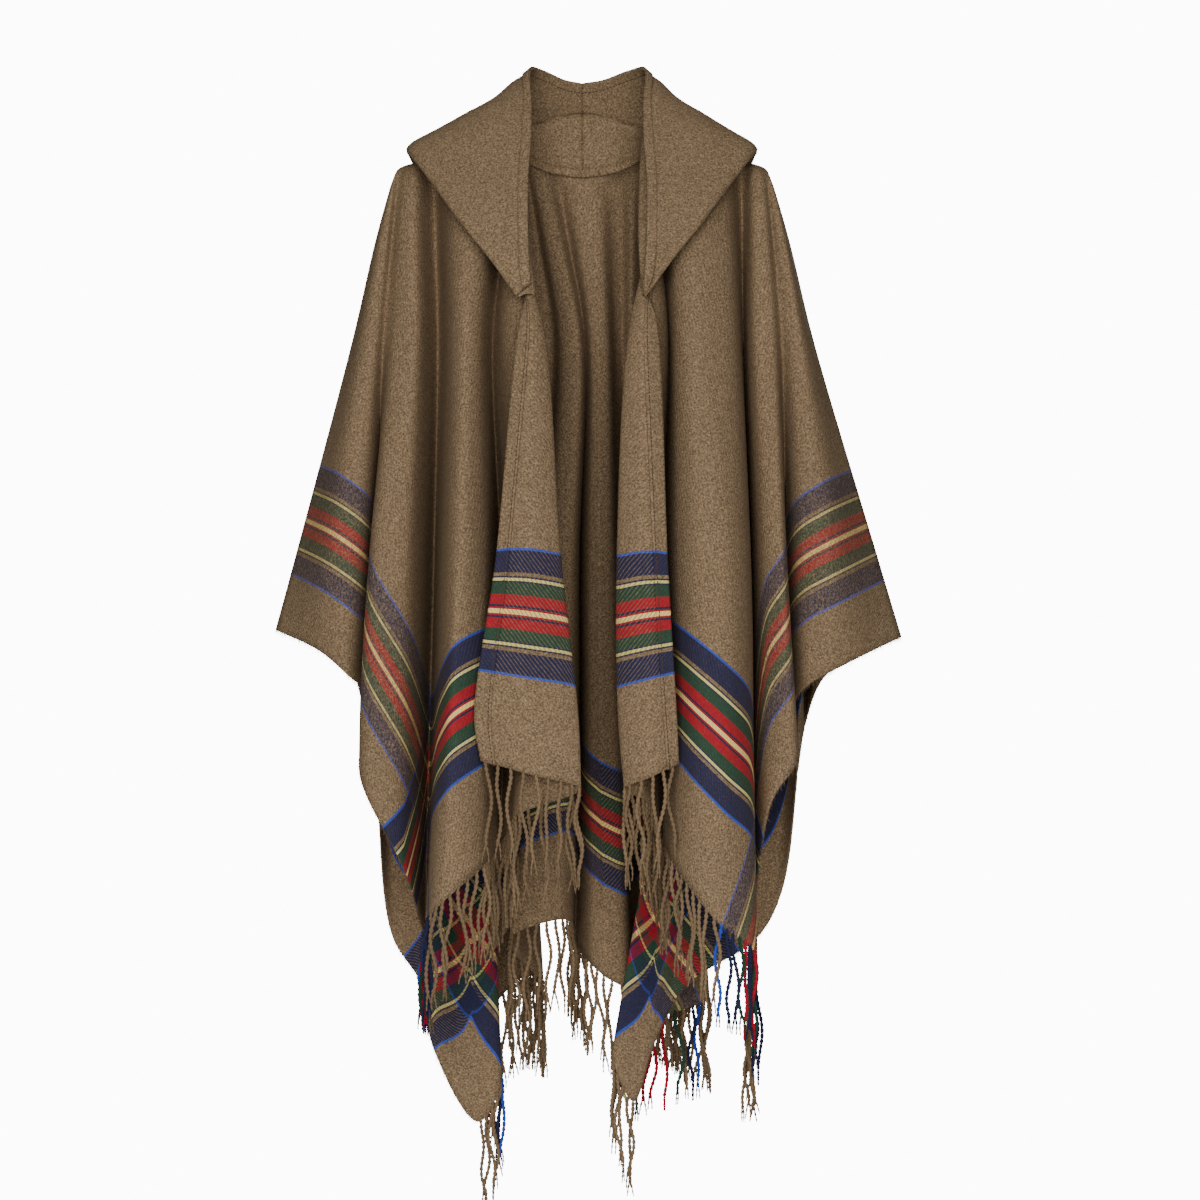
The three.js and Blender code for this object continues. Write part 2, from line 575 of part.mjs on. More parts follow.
// Binding over the neck seam, inside the back of the neck
function neckBinding() {
  const sheet = newSheet();
  const line = [];
  for (const half of halves) {
    const first = half.side < 0 ? 0 : 1;
    for (let i = first; i <= BINDING_STEPS; i += 1) {
      const along = half.side < 0 ? 1 - i / BINDING_STEPS : i / BINDING_STEPS;
      line.push(half.neckBack.getPoint(along));
    }
  }
  const grid = line.map((p) => {
    const inward = new THREE.Vector3(-p.x, -p.y, 0).normalize();
    const middle = p.clone().addScaledVector(inward, BINDING_CLEAR);
    return [-BINDING_WIDTH / 2, BINDING_WIDTH / 2].map((dz) => middle.clone().setZ(middle.z + dz));
  });
  addGrid(sheet, grid, false);
  return wallGeometry(sheet, -TRIM_THICKNESS / 2, TRIM_THICKNESS / 2);
}

// A closed geometry as a solid that can be joined
function solidOf(geometry) {
  const bare = new THREE.BufferGeometry();
  bare.setAttribute('position', geometry.getAttribute('position').clone());
  if (geometry.index) bare.setIndex(geometry.index.clone());
  const merged = mergeVertices(bare, EXACT);
  return new wasm.Manifold(new wasm.Mesh({
    numProp: 3,
    vertProperties: new Float32Array(merged.getAttribute('position').array),
    triVerts: new Uint32Array(merged.index.array),
  }));
}

function largestPiece(solid) {
  return solid.decompose().sort((a, b) => b.volume() - a.volume())[0];
}

function geometryOf(solid) {
  const mesh = solid.getMesh();
  const geometry = new THREE.BufferGeometry();
  geometry.setAttribute('position', new THREE.BufferAttribute(new Float32Array(mesh.vertProperties), 3));
  geometry.setIndex(new THREE.BufferAttribute(new Uint32Array(mesh.triVerts), 1));
  geometry.computeVertexNormals();
  return geometry;
}

// Line just off a panel's hem, as points with their distance from the slit
function hemOf(panel) {
  const columns = panel.last * COLUMNS_PER_FOLD;
  const hem = [];
  for (let c = 0; c <= columns; c += 1) {
    const column = c / COLUMNS_PER_FOLD;
    const [across, along] = panel.flatAt(column, 1);
    const onHem = Math.abs(along - FRONT_END) < EXACT || Math.abs(along - BACK_LENGTH) < EXACT;
    if (onHem) hem.push({ across, column, edge: panel.placeAt(column, 1) });
  }
  hem.forEach((knot, index) => {
    const tangent = through(hem[index - 1]?.edge, knot.edge, hem[index + 1]?.edge);
    const off = through(panel.placeAt(knot.column, HEM_INSET), knot.edge, null, tangent);
    knot.place = knot.edge.clone().addScaledVector(off, STRIP_GAP);
  });
  return hem.sort((a, b) => a.across - b.across);
}

function hemPoint(hem, across) {
  const next = Math.max(1, hem.findIndex((knot) => knot.across >= across));
  const [a, b] = [hem[next - 1], hem[next]];
  return a.place.clone().lerp(b.place, (across - a.across) / (b.across - a.across));
}

// One twisted strand, a three-sided tube that tapers and sways a little
function strand(root, number) {
  const sway = [Math.sin(number * 2.4) * STRAND_SWAY, Math.cos(number * 1.7) * STRAND_SWAY];
  const rings = STRAND_RINGS.map(({ down, width, bend }) => {
    const centre = root.clone();
    centre.x += sway[0] * bend;
    centre.y += sway[1] * bend;
    centre.z -= down * STRAND_LENGTH - STRAND_ROOT;
    return [0, 1, 2].map((corner) => {
      const angle = corner * 2 * Math.PI / 3 + number;
      const reach = STRAND_RADIUS * width;
      return [centre.x + reach * Math.cos(angle), centre.y + reach * Math.sin(angle), centre.z];
    });
  });
  const positions = rings.flat(2);
  const indices = [0, 1, 2];
  for (let ring = 0; ring + 1 < rings.length; ring += 1) {
    for (let corner = 0; corner < 3; corner += 1) {
      const a = ring * 3 + corner;
      const b = ring * 3 + (corner + 1) % 3;
      indices.push(a, a + 3, b, b, a + 3, b + 3);
    }
  }
  const last = (rings.length - 1) * 3;
  indices.push(last, last + 2, last + 1);
  const geometry = new THREE.BufferGeometry();
  geometry.setAttribute('position', new THREE.Float32BufferAttribute(positions, 3));
  geometry.setIndex(indices);
  return geometry;
}

// Strip along a hem, for the strands' roots
function rootStrip(hem) {
  const sheet = newSheet();
  addGrid(sheet, hem.map(({ place }) => [place, place.clone().setZ(place.z - ROOT_STRIP_HEIGHT)]), false);
  return solidOf(wallGeometry(sheet, -ROOT_STRIP_THICKNESS / 2, ROOT_STRIP_THICKNESS / 2));
}

// Strip with its strands, without any that would pass through the cloth
function fringe(hem, cloth) {
  const solids = [rootStrip(hem)];
  const first = hem[0].across + STRAND_PITCH / 2;
  const last = hem[hem.length - 1].across;
  for (let across = first, number = 0; across < last; across += STRAND_PITCH, number += 1) {
    const root = hemPoint(hem, across);
    root.z -= ROOT_STRIP_HEIGHT;
    const solid = solidOf(strand(root, number));
    if (solid.intersect(cloth).isEmpty()) solids.push(solid);
  }
  return geometryOf(wasm.Manifold.union(solids).simplify(FRINGE_TOLERANCE));
}

// Hem of the back, from the left corner to the right one
function backHem() {
  const [left, right] = halves.map((half) => hemOf(half.backPanel));
  return [
    ...left.map(({ across, place }) => ({ across: -across, place })).reverse(),
    ...right.slice(1),
  ];
}

const group = new THREE.Group();
const blanket = blanketCloth();
const blanketSolid = solidOf(blanket);
const blanketSpace = solidOf(blanketCloth(SEAM_GAP + HOOD_TRIM));
group.add(clothMesh('blanket', blanket));
for (const half of halves) {
  const keepOut = blanketSpace.add(blanketSolid.translate([-half.side * HOOD_SIDE_TRIM, 0, 0]));
  group.add(clothMesh(`hood_${half.name}`, hoodPanel(half, keepOut)));
  group.add(clothMesh(`hood_hem_${half.name}`, hoodHem(half)));
  group.add(clothMesh(`opening_hem_${half.name}`, openingHem(half)));
  group.add(clothMesh(`fringe_front_${half.name}`, fringe(hemOf(half.frontPanel), blanketSolid)));
}
group.add(clothMesh('neck_binding', neckBinding()));
group.add(clothMesh('fringe_back', fringe(backHem(), blanketSolid)));

export default group;
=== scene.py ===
# Hooded cape: a fringed blanket cloth worn over the shoulders, with a two-piece hood
import math

import bmesh
import bpy
import numpy as np
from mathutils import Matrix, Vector


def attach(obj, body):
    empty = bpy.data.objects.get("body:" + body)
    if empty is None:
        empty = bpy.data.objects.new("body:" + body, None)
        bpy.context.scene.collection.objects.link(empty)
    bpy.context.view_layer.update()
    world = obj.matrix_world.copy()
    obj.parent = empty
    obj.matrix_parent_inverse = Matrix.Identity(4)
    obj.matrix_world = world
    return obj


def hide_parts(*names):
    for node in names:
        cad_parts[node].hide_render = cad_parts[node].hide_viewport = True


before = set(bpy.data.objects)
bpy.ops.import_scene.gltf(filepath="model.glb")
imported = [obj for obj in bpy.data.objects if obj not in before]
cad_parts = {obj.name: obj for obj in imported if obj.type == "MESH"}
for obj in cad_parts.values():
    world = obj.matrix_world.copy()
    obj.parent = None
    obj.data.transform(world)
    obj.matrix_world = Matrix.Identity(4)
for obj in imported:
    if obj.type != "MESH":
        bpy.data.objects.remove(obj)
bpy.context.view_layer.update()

bl_info = {
    "name": "Hooded Cape",
    "version": (1, 0, 0),
    "blender": (4, 5, 0),
    "location": "3D View > Sidebar > Cape",
    "description": "Builds a fringed hooded cape in twill cloth",
    "category": "Object",
}

MM = 0.001
BODY = "root"

# Flat cloth, in millimetres
NECK_SIDE = 70
SHOULDER_TIP = 190
NECK_FRONT = -205
NECK_BACK = 50
FRONT_END = -675
BACK_END = 825
HALF_WIDTH = 680

# Heights of the sections through the folds
YOKE_HEIGHT = -70
YOKE_ROOM = 25
YOKE_SPREAD = 0.85
YOKE_FULLNESS = 0.42
CHEST_HEIGHT = -170
WAIST_HEIGHT = -390
LOW_HEIGHT = -540
SHOULDER_DROP = 9

# Mesh density of the blanket: columns between two fold rows, and steps from shoulder to edge
COLUMNS_PER_FOLD = 10
STATION_COUNT = 60

# How far each side of a column, in fold rows, its places are evened out
FOLD_SOFTNESS = 0.16

# Fold rows: name, place on the neckline, x and y at chest, waist and low, x y z at the edge,
# and that edge's place on the flat cloth
LEFT_FRONT = (
    ("opening_edge", 0, (-60, -137), (-81, -175), (-102, -168), (-96, -160, -584), (0, -675)),
    ("revers_middle", 0.1, (-48, -143), (-51, -183), (-51, -178), (-46, -170, -598), (45, -675)),
    ("revers_roll", 0.2, (-36, -130), (-19, -162), (-2, -160), (1, -154, -612), (99, -675)),
    ("behind_revers", 0.42, (-62, -108), (-50, -142), (-52, -140), (-60, -140, -636), (155, -675)),
    ("neck_side", 0.72, (-78, -84), (-62, -98), (-62, -96), (-70, -98, -655), (225, -675)),
    ("revers_valley", None, (-88, -40), (-81, -6), (-79, -4), (-81, -40, -672), (290, -675)),
    ("panel_right", None, (-99, -96), (-93, -138), (-93, -144), (-95, -134, -688), (424, -675)),
    ("panel_crest", None, (-113, -108), (-116, -166), (-122, -172), (-124, -158, -712), (462, -675)),
    ("panel_left", None, (-126, -92), (-129, -146), (-134, -150), (-146, -138, -734), (500, -675)),
    ("corner_valley", None, (-144, 0), (-149, 24), (-153, 28), (-157, 12, -768), (680, -675)),
    ("side_panel_right", None, (-162, -66), (-168, -102), (-171, -104), (-174, -100, -690), (680, -510)),
    ("side_panel_left", None, (-183, -58), (-204, -104), (-214, -110), (-216, -105, -603), (680, -412)),
    ("arm_valley", None, (-196, -38), (-206, -4), None, (-210, 8, -530), (680, -272)),
    ("arm_right", None, (-204, -50), (-219, -72), None, (-231, -70, -503), (680, -165)),
    ("arm_crest", None, (-216, -46), (-246, -74), None, (-255, -62, -482), (680, -72)),
    ("arm_side", None, (-229, 0), (-287, 0), None, (-306, 0, -460), (680, 0)),
)
LEFT_BACK = (
    LEFT_FRONT[-1],
    ("sleeve_outer", None, (-224, 42), (-266, 84), None, (-266, 100, -470), (680, 120)),
    ("sleeve_inner", None, (-214, 52), (-236, 52), None, (-230, 26, -502), (680, 240)),
    ("side_outer", None, (-202, 76), (-224, 116), (-222, 118), (-222, 112, -565), (680, 360)),
    ("side_inner", None, (-188, 72), (-212, 62), (-212, 56), (-208, 44, -612), (680, 440)),
    ("lobe_crest", None, (-184, 88), (-204, 110), (-200, 98), (-194, 64, -770), (680, 590)),
    ("lobe_inner", None, (-168, 82), (-176, 78), (-174, 64), (-163, 70, -822), (680, 655)),
    ("corner_outer", None, (-154, 94), (-160, 128), (-158, 122), (-153, 76, -884), (680, 730)),
    ("corner_point", None, (-138, 82), (-134, 88), (-128, 84), (-106, 66, -962), (680, 825)),
    ("corner_turn", None, (-122, 92), (-106, 122), (-98, 110), (-82, 74, -920), (627, 825)),
    ("back_outer", None, (-106, 100), (-112, 168), (-114, 166), (-100, 150, -865), (520, 825)),
    ("back_inner", 0.86, (-64, 84), (-80, 104), (-66, 128), (-60, 176, -822), (430, 825)),
    ("ridge_valley", 0.71, (-32, 100), (-56, 160), (-58, 160), (-40, 150, -828), (340, 825)),
    ("ridge_left", 0.57, (-20, 68), (-34, 60), (-46, 54), (-73, 30, -769), (250, 825)),
    ("ridge_right", 0.43, (-4, 60), (-10, 52), (-13, 50), (-20, 38, -752), (180, 825)),
    ("centre_valley", 0.29, (3, 84), (-3, 138), (-3, 142), (-8, 146, -785), (100, 825)),
    ("centre_left", 0.14, (9, 60), (6, 52), (6, 56), (8, 74, -800), (27, 825)),
    ("centre_back", 0.0, (16, 55), (17, 42), (18, 46), (24, 66, -814), (0, 825)),
)
RIGHT_FRONT = (
    ("opening_edge", 0, (73, -131), (82, -165), (91, -160), (93, -152, -587), (0, -675)),
    ("revers_middle", 0.1, (60, -139), (59, -173), (63, -168), (67, -161, -600), (30, -675)),
    ("revers_roll", 0.2, (46, -128), (34, -154), (35, -149), (41, -144, -612), (60, -675)),
    ("behind_revers", 0.46, (70, -108), (54, -134), (56, -132), (62, -130, -624), (110, -675)),
    ("neck_side", 0.72, (82, -84), (66, -98), (67, -94), (72, -92, -642), (185, -675)),
    ("revers_valley", None, (86, -44), (79, -12), (79, -8), (79, -40, -660), (262, -675)),
    ("panel_left", None, (92, -96), (90, -122), (92, -128), (86, -122, -680), (405, -675)),
    ("panel_crest", None, (106, -110), (112, -154), (112, -162), (105, -152, -708), (452, -675)),
    ("panel_middle", None, (126, -104), (140, -154), (142, -162), (134, -158, -743), (500, -675)),
    ("panel_right", None, (150, -80), (160, -122), (163, -128), (168, -130, -770), (568, -675)),
    ("corner_valley", None, (161, 0), (169, 18), (171, 16), (164, -12, -856), (680, -675)),
    ("side_panel_left", None, (170, -58), (178, -90), (182, -94), (184, -90, -630), (680, -430)),
    ("side_panel_right", None, (188, -60), (197, -102), (207, -104), (211, -95, -588), (680, -372)),
    ("arm_valley", None, (197, -42), (203, -12), None, (205, 0, -546), (680, -258)),
    ("arm_left", None, (206, -50), (216, -72), None, (222, -64, -514), (680, -160)),
    ("arm_crest", None, (216, -52), (246, -80), None, (258, -62, -494), (680, -76)),
    ("arm_side", None, (231, 0), (296, 0), None, (319, 0, -467), (680, 0)),
)
RIGHT_BACK = (
    RIGHT_FRONT[-1],
    ("sleeve_outer", None, (226, 42), (274, 84), None, (280, 96, -482), (680, 110)),
    ("sleeve_inner", None, (216, 54), (242, 48), None, (240, 24, -512), (680, 220)),
    ("side_outer", None, (204, 78), (230, 112), (229, 110), (228, 105, -560), (680, 320)),
    ("side_inner", None, (192, 72), (220, 58), (221, 50), (218, 40, -600), (680, 400)),
    ("lobe_crest", None, (184, 88), (206, 104), (206, 98), (204, 66, -722), (680, 525)),
    ("lobe_inner", None, (169, 82), (180, 76), (182, 68), (178, 75, -775), (680, 590)),
    ("corner_outer", None, (154, 96), (162, 132), (152, 132), (105, 70, -822), (680, 690)),
    ("corner_inner", None, (140, 84), (138, 90), (126, 86), (72, 56, -882), (680, 760)),
    ("corner_point", None, (125, 96), (118, 132), (108, 104), (52, 40, -938), (680, 825)),
    ("corner_turn", None, (110, 86), (98, 98), (88, 84), (30, 42, -880), (620, 825)),
    ("back_outer", None, (96, 106), (100, 170), (112, 174), (134, 182, -846), (470, 825)),
    ("back_inner", 0.86, (78, 90), (76, 108), (84, 120), (106, 170, -838), (410, 825)),
    ("back_crest", 0.71, (64, 108), (70, 176), (76, 184), (98, 190, -828), (345, 825)),
    ("slope_inner", 0.57, (50, 84), (56, 104), (64, 108), (80, 118, -816), (265, 825)),
    ("slope_outer", 0.43, (42, 98), (48, 166), (54, 176), (66, 185, -812), (185, 825)),
    ("centre_valley", 0.29, (34, 90), (37, 118), (42, 126), (54, 140, -822), (110, 825)),
    ("centre_right", 0.14, (25, 60), (30, 52), (34, 56), (46, 76, -826), (27, 825)),
    LEFT_BACK[-1],
)

# Curves over the neck and shoulders; x is mirrored for the right half
SHOULDER_CURVE = ((-65, 0, 20), (-120, 0, 15), (-166, 0, 7), (-184, 0, 0), (-188, 0, -10))
NECK_BACK_CURVE = ((0, 50, 1), (-32, 44, 5), (-56, 27, 13), (-65, 0, 20))
LEFT_NECK_FRONT = ((-52, -118, -138), (-58, -98, -96), (-63, -58, -36), (-65, -20, 8), (-65, 0, 20))
RIGHT_NECK_FRONT = ((66, -118, -138), (64, -98, -96), (64, -58, -36), (65, -20, 8), (65, 0, 20))

# Hood guides from the front of the neck round to the centre back, for the left half
HOOD_FOLD = (
    (-61, -127, -135), (-84, -116, -100), (-112, -99, -62), (-142, -66, -18), (-168, -26, 17),
    (-164, 40, 9), (-136, 94, -42), (-92, 122, -92), (-44, 132, -118), (0, 134, -126),
)
HOOD_MOUTH = (
    (-49, -131, -124), (-51, -126, -92), (-52, -112, -56), (-52, -86, -16), (-50, -56, 26),
    (-50, -22, 68), (-51, 12, 102), (-38, 38, 104), (-16, 58, 97), (0, 66, 95),
)
RIGHT_MOUTH_WIDER = 1.22
HOOD_LAYER_NORMAL = ((0, -0.76, 0.65), (0, -0.1, 1), (0, 1, 0.1))
HOOD_STAND_DIRECTION = ((0.8, -0.45, 0.4), (0.08, -0.15, 0.98), (0, 0.1, 1))
HOOD_FOLD_HEIGHT = 13
HOOD_STAND_FRONT = 5
HOOD_STAND_SIDE = 20
HOOD_STAND_BACK = 62
RIDGE_LIFT = 18
RIDGE_PLACE = 0.53
RIDGE_WIDTH = 0.1
BROW_LIFT = 15
BROW_PLACE = 0.63
BROW_WIDTH = 0.13
BROW_REACH = 0.2
HOOD_UNDER_LIFT = 2
HOOD_SEAT = 1.4
HOOD_SEAT_FRONT = 3.2
UNDER_PLACE = 0.55
OVER_PLACE = 0.5
OVER_LIFT = 0.9
FOLD_ROUNDNESS = 0.8
SEAM_HALF = 0.02
HOOD_SECTIONS = 72
HOOD_ROWS = 56
HOOD_HEM_WIDTH = 10
OPENING_HEM_WIDTH = 13
OPENING_HEM_START = 0.03
TRIM_THICKNESS = 1.4
TRIM_CLEAR = 0.6
BINDING_WIDTH = 8
BINDING_CLEAR = 2.6

# Strands of the fringe, stitches and loose fibres
STRAND_STEP = 2.0
STRAND_SWAY = 0.24
STRAND_BEND = 16
STRAND_SIDES = 8
STRAND_FLATNESS = 0.6
SHORTEST_TAIL = 14
LONGEST_TAIL = 20
TAIL_STEPS = 9
EDGE_STATIONS = (0.97, 1)
STITCH_GAP = 0.0012
THREAD_RADIUS = 0.00045
STITCH_CLEAR = 0.15
LASH_GAP = 0.0009
LASH_ROOT = 0.00022
LASH_TIP = 0.00004

# Grain of the wool: flecks about 1.8 mm across, clouds of 9 mm, uneven ribs every 11 mm, brushed hairs
# of 1.4 mm, and fibres of 1.1 mm along the yarn
FLECKS_PER_METRE = 560.0
CLOUDS_PER_METRE = 110.0
WOBBLES_PER_METRE = 90.0
HAIRS_PER_METRE = 700.0
FIBRES_PER_METRE = 900.0

# Stripes of a band from its middle to its edge: half width in millimetres, colour, cover
BAND_HALF = 60
STRIPES = (
    (2.2, "cream", 1.0), (4.2, "red", 1.0), (6.2, "navy", 1.0), (16, "red", 1.0), (27.5, "green", 1.0),
    (29, "navy", 1.0), (31.8, "yellow", 0.8), (33.5, "navy", 1.0), (37, "camel", 0.0), (57.5, "navy", 1.0),
    (60, "royal", 1.0),
)
SIDE_BAND_MIDDLE = 560
HEM_BAND_CENTRE = 75
HEM_BAND_REACH = 600


def linear(hex_colour):
    """Turns an sRGB hex colour into Blender's linear values."""
    values = [int(hex_colour[i:i + 2], 16) / 255 for i in (0, 2, 4)]
    return tuple(v / 12.92 if v <= 0.04045 else ((v + 0.055) / 1.055) ** 2.4 for v in values)


def add(tree, kind, inputs=None, output=0, **settings):
    """Adds a node with its settings, sets or links its inputs, and gives one of its outputs."""
    node = tree.nodes.new(kind)
    for name, value in settings.items():
        setattr(node, name, value)
    for name, value in (inputs or {}).items():
        if isinstance(value, bpy.types.NodeSocket):
            tree.links.new(value, node.inputs[name])
        else:
            node.inputs[name].default_value = value
    return node.outputs[output] if node.outputs else None


class Line:
    """A smooth curve through points that turns without overshoot."""

    SAMPLES = 200

    def __init__(self, points):
        p = np.array(points, float)
        self.count = len(p)
        self.knots = np.vstack([2 * p[0] - p[1], p, 2 * p[-1] - p[-2]])
        self.steps = np.linspace(0, 1, self.SAMPLES + 1)
        places = self.at(self.steps)
        lengths = np.linalg.norm(np.diff(places, axis=0), axis=1)
        self.reach = np.concatenate([[0], np.cumsum(lengths)])
        self.length = self.reach[-1]

    def at(self, t):
        place = np.clip(np.atleast_1d(t), 0, 1) * (self.count - 1)
        index = np.minimum(place.astype(int), self.count - 2)
        w = (place - index)[:, None]
        p0, p1, p2, p3 = (self.knots[index + k] for k in range(4))
        gaps = [np.maximum(np.sqrt(np.linalg.norm(b - a, axis=1)), 1e-6)[:, None]
                for a, b in ((p0, p1), (p1, p2), (p2, p3))]
        d0, d1, d2 = gaps
        m1 = ((p1 - p0) / d0 - (p2 - p0) / (d0 + d1) + (p2 - p1) / d1) * d1
        m2 = ((p2 - p1) / d1 - (p3 - p1) / (d1 + d2) + (p3 - p2) / d2) * d1
        return p1 + m1 * w + (3 * (p2 - p1) - 2 * m1 - m2) * w ** 2 + (2 * (p1 - p2) + m1 + m2) * w ** 3

    def along(self, part):
        """Points at equal parts of the curve's length."""
        part = np.clip(np.atleast_1d(part), 0, 1)
        return self.at(np.interp(part * self.length, self.reach, self.steps))


def lerp(a, b, t):
    return a + (b - a) * t


def unit(v):
    return v / np.maximum(np.linalg.norm(v, axis=-1, keepdims=True), 1e-12)


def between(p0, p1, p2, p3, f):
    """Points on curves through four neighbours, between the middle two."""
    gaps = [np.maximum(np.sqrt(np.linalg.norm(b - a, axis=-1, keepdims=True)), 0.4)
            for a, b in ((p0, p1), (p1, p2), (p2, p3))]
    t1 = gaps[0]
    t2 = t1 + gaps[1]
    t3 = t2 + gaps[2]
    t = t1 + (t2 - t1) * f
    a1 = lerp(p0, p1, t / t1)
    a2 = lerp(p1, p2, (t - t1) / (t2 - t1))
    a3 = lerp(p2, p3, (t - t2) / (t3 - t2))
    return lerp(lerp(a1, a2, t / t2), lerp(a2, a3, (t - t1) / (t3 - t1)), (t - t1) / (t2 - t1))


class Panel:
    """One panel of cloth, hung from the neckline and the shoulder by its fold rows."""

    def __init__(self, rows, neck, shoulder, neck_flat, side):
        self.rows = rows
        self.neck = neck
        self.shoulder = shoulder
        self.neck_flat = neck_flat
        self.side = side
        self.last = len(rows) - 1
        self.shoulder_first = rows[0][1] is None
        self.from_shoulder = sum(row[1] is None for row in rows)
        self.first_shoulder = 0 if self.shoulder_first else len(rows) - self.from_shoulder
        self.lines = [self.row_line(index) for index in range(len(rows))]

    def start(self, column):
        """Where a column starts, in space and on the flat cloth."""
        along = (column - self.first_shoulder) / (self.from_shoulder - 1)
        if 0 <= along <= 1:
            outward = 1 - along if self.shoulder_first else along
            return self.shoulder.at(outward)[0], (lerp(NECK_SIDE, SHOULDER_TIP, outward), 0)
        low = min(int(column), self.last - 1)
        places = [1 if self.rows[k][1] is None else self.rows[k][1] for k in (low, low + 1)]
        to_side = lerp(places[0], places[1], column - low)
        angle = to_side * math.pi / 2
        return self.neck.at(to_side)[0], (NECK_SIDE * math.sin(angle), self.neck_flat * math.cos(angle))

    def row_line(self, index):
        start = self.start(index)[0]
        _, _, chest, waist, low, end, _ = self.rows[index]
        points = [start]
        if start[2] > YOKE_HEIGHT + YOKE_ROOM:
            for height in (start[2] - SHOULDER_DROP, YOKE_HEIGHT):
                down = (start[2] - height) / (start[2] - CHEST_HEIGHT)
                points.append((lerp(start[0], chest[0], down ** YOKE_SPREAD),
                               lerp(start[1], chest[1], down ** YOKE_FULLNESS), height))
        points += [(*chest, CHEST_HEIGHT), (*waist, WAIST_HEIGHT)]
        if low:
            points.append((*low, LOW_HEIGHT))
        return Line(points + [end])

    def through_rows(self, lines, column):
        """Places of a column between its two fold rows."""
        low = min(int(column), self.last - 1)
        return between(*(lines[low + k] for k in range(4)), column - low)

    def grid(self, columns, stations):
        """Places in space and on the flat cloth, by column and station."""
        stations = np.asarray(stations, float)
        lines = np.array([line.along(stations) for line in self.lines])
        lines = np.concatenate([2 * lines[:1] - lines[1:2], lines, 2 * lines[-1:] - lines[-2:-1]])
        places, flats = [], []
        for column in columns:
            low = min(int(column), self.last - 1)
            f = column - low
            soft = min(FOLD_SOFTNESS, column, self.last - column)
            place = (self.through_rows(lines, column - soft) + self.through_rows(lines, column + soft)
                     + 2 * self.through_rows(lines, column)) / 4
            start, flat_start = self.start(column)
            place[stations == 0] = start
            flat_end = [lerp(a, b, f) for a, b in zip(self.rows[low][6], self.rows[low + 1][6])]
            flat = lerp(np.array(flat_start)[None], np.array(flat_end)[None], stations[:, None])
            flat[:, 0] *= self.side
            places.append(place)
            flats.append(flat)
        return np.array(places), np.array(flats)


def mirrored(points, side):
    """Mirrors a left half's points for the right half."""
    return [(-side * x, y, z) for x, y, z in points]


def through(grid, axis, square_to=None):
    """Direction along one way of a grid, each neighbour counting the same."""
    steps = np.diff(grid, axis=axis)
    first = np.take(steps, [0], axis=axis)
    last = np.take(steps, [-1], axis=axis)
    before = np.concatenate([first, steps], axis=axis)
    after = np.concatenate([steps, last], axis=axis)
    if square_to is not None:
        before = before - (before * square_to).sum(-1, keepdims=True) * square_to
        after = after - (after * square_to).sum(-1, keepdims=True) * square_to
    return unit(unit(before) + unit(after))


def grid_normals(grid, flip):
    """Normals of a grid of points, out of the cloth's right side."""
    along = through(grid, 1)
    across = through(grid, 0, along)
    return unit(np.cross(along, across)) * (-1 if flip else 1)


HALVES = {}
for half_name, half_side, front_rows, back_rows, neck_points in (
        ("left", -1, LEFT_FRONT, LEFT_BACK, LEFT_NECK_FRONT),
        ("right", 1, RIGHT_FRONT, RIGHT_BACK, RIGHT_NECK_FRONT)):
    shoulder_line = Line(mirrored(SHOULDER_CURVE, half_side))
    neck_front_line = Line(neck_points)
    neck_back_line = Line(mirrored(NECK_BACK_CURVE, half_side))
    HALVES[half_name] = {
        "side": half_side,
        "front": Panel(front_rows, neck_front_line, shoulder_line, NECK_FRONT, half_side),
        "back": Panel(back_rows, neck_back_line, shoulder_line, NECK_BACK, half_side),
        "neck_front": neck_front_line,
        "neck_back": neck_back_line,
        "hood_fold": Line(mirrored(HOOD_FOLD, half_side)),
        "hood_mouth": Line([(x * (RIGHT_MOUTH_WIDER if half_side > 0 else 1), y, z)
                            for x, y, z in mirrored(HOOD_MOUTH, half_side)]),
    }


def direction_at(directions, s):
    """Value at s from three directions, at the front, side and back of the neck."""
    at = 0 if s < 0.5 else 1
    return unit(lerp(np.array(directions[at], float), np.array(directions[at + 1], float), s * 2 - at))


def hood_section(half, s):
    """Section of the hood from the neck seam over the outer fold to the mouth."""
    neck = half["neck_front"].at(s * 2)[0] if s < 0.5 else half["neck_back"].at(2 - s * 2)[0]
    fold = half["hood_fold"].at(s)[0]
    mouth = half["hood_mouth"].at(s)[0]
    normal = direction_at(HOOD_LAYER_NORMAL, s)
    stand = direction_at(HOOD_STAND_DIRECTION, s) * (-half["side"], 1, 1)
    rise = HOOD_FOLD_HEIGHT * min(1, 0.35 + s * 2.2) / 2
    later = max(0, s * 2 - 1)
    standing = (lerp(HOOD_STAND_FRONT, HOOD_STAND_SIDE, s * 2) if s < 0.5
                else lerp(HOOD_STAND_SIDE, HOOD_STAND_BACK, later * later * (3 - 2 * later)))
    seat = lerp(HOOD_SEAT_FRONT, HOOD_SEAT, min(1, s * 2))
    foot = neck + stand * seat
    top = neck + stand * (seat + standing)
    outward = unit(fold - top)
    under = lerp(top, fold, UNDER_PLACE) + normal * HOOD_UNDER_LIFT
    ridge = RIDGE_LIFT * math.exp(-((s - RIDGE_PLACE) / RIDGE_WIDTH) ** 2)
    over = lerp(mouth, fold, OVER_PLACE) + normal * (rise * OVER_LIFT + ridge)
    brow_lift = BROW_LIFT * math.exp(-((s - BROW_PLACE) / BROW_WIDTH) ** 2)
    brow = lerp(mouth, over, BROW_REACH / OVER_PLACE) + normal * brow_lift
    return Line([foot, top, under, fold - normal * rise, fold + outward * rise * FOLD_ROUNDNESS,
                 fold + normal * rise, over, brow, mouth])


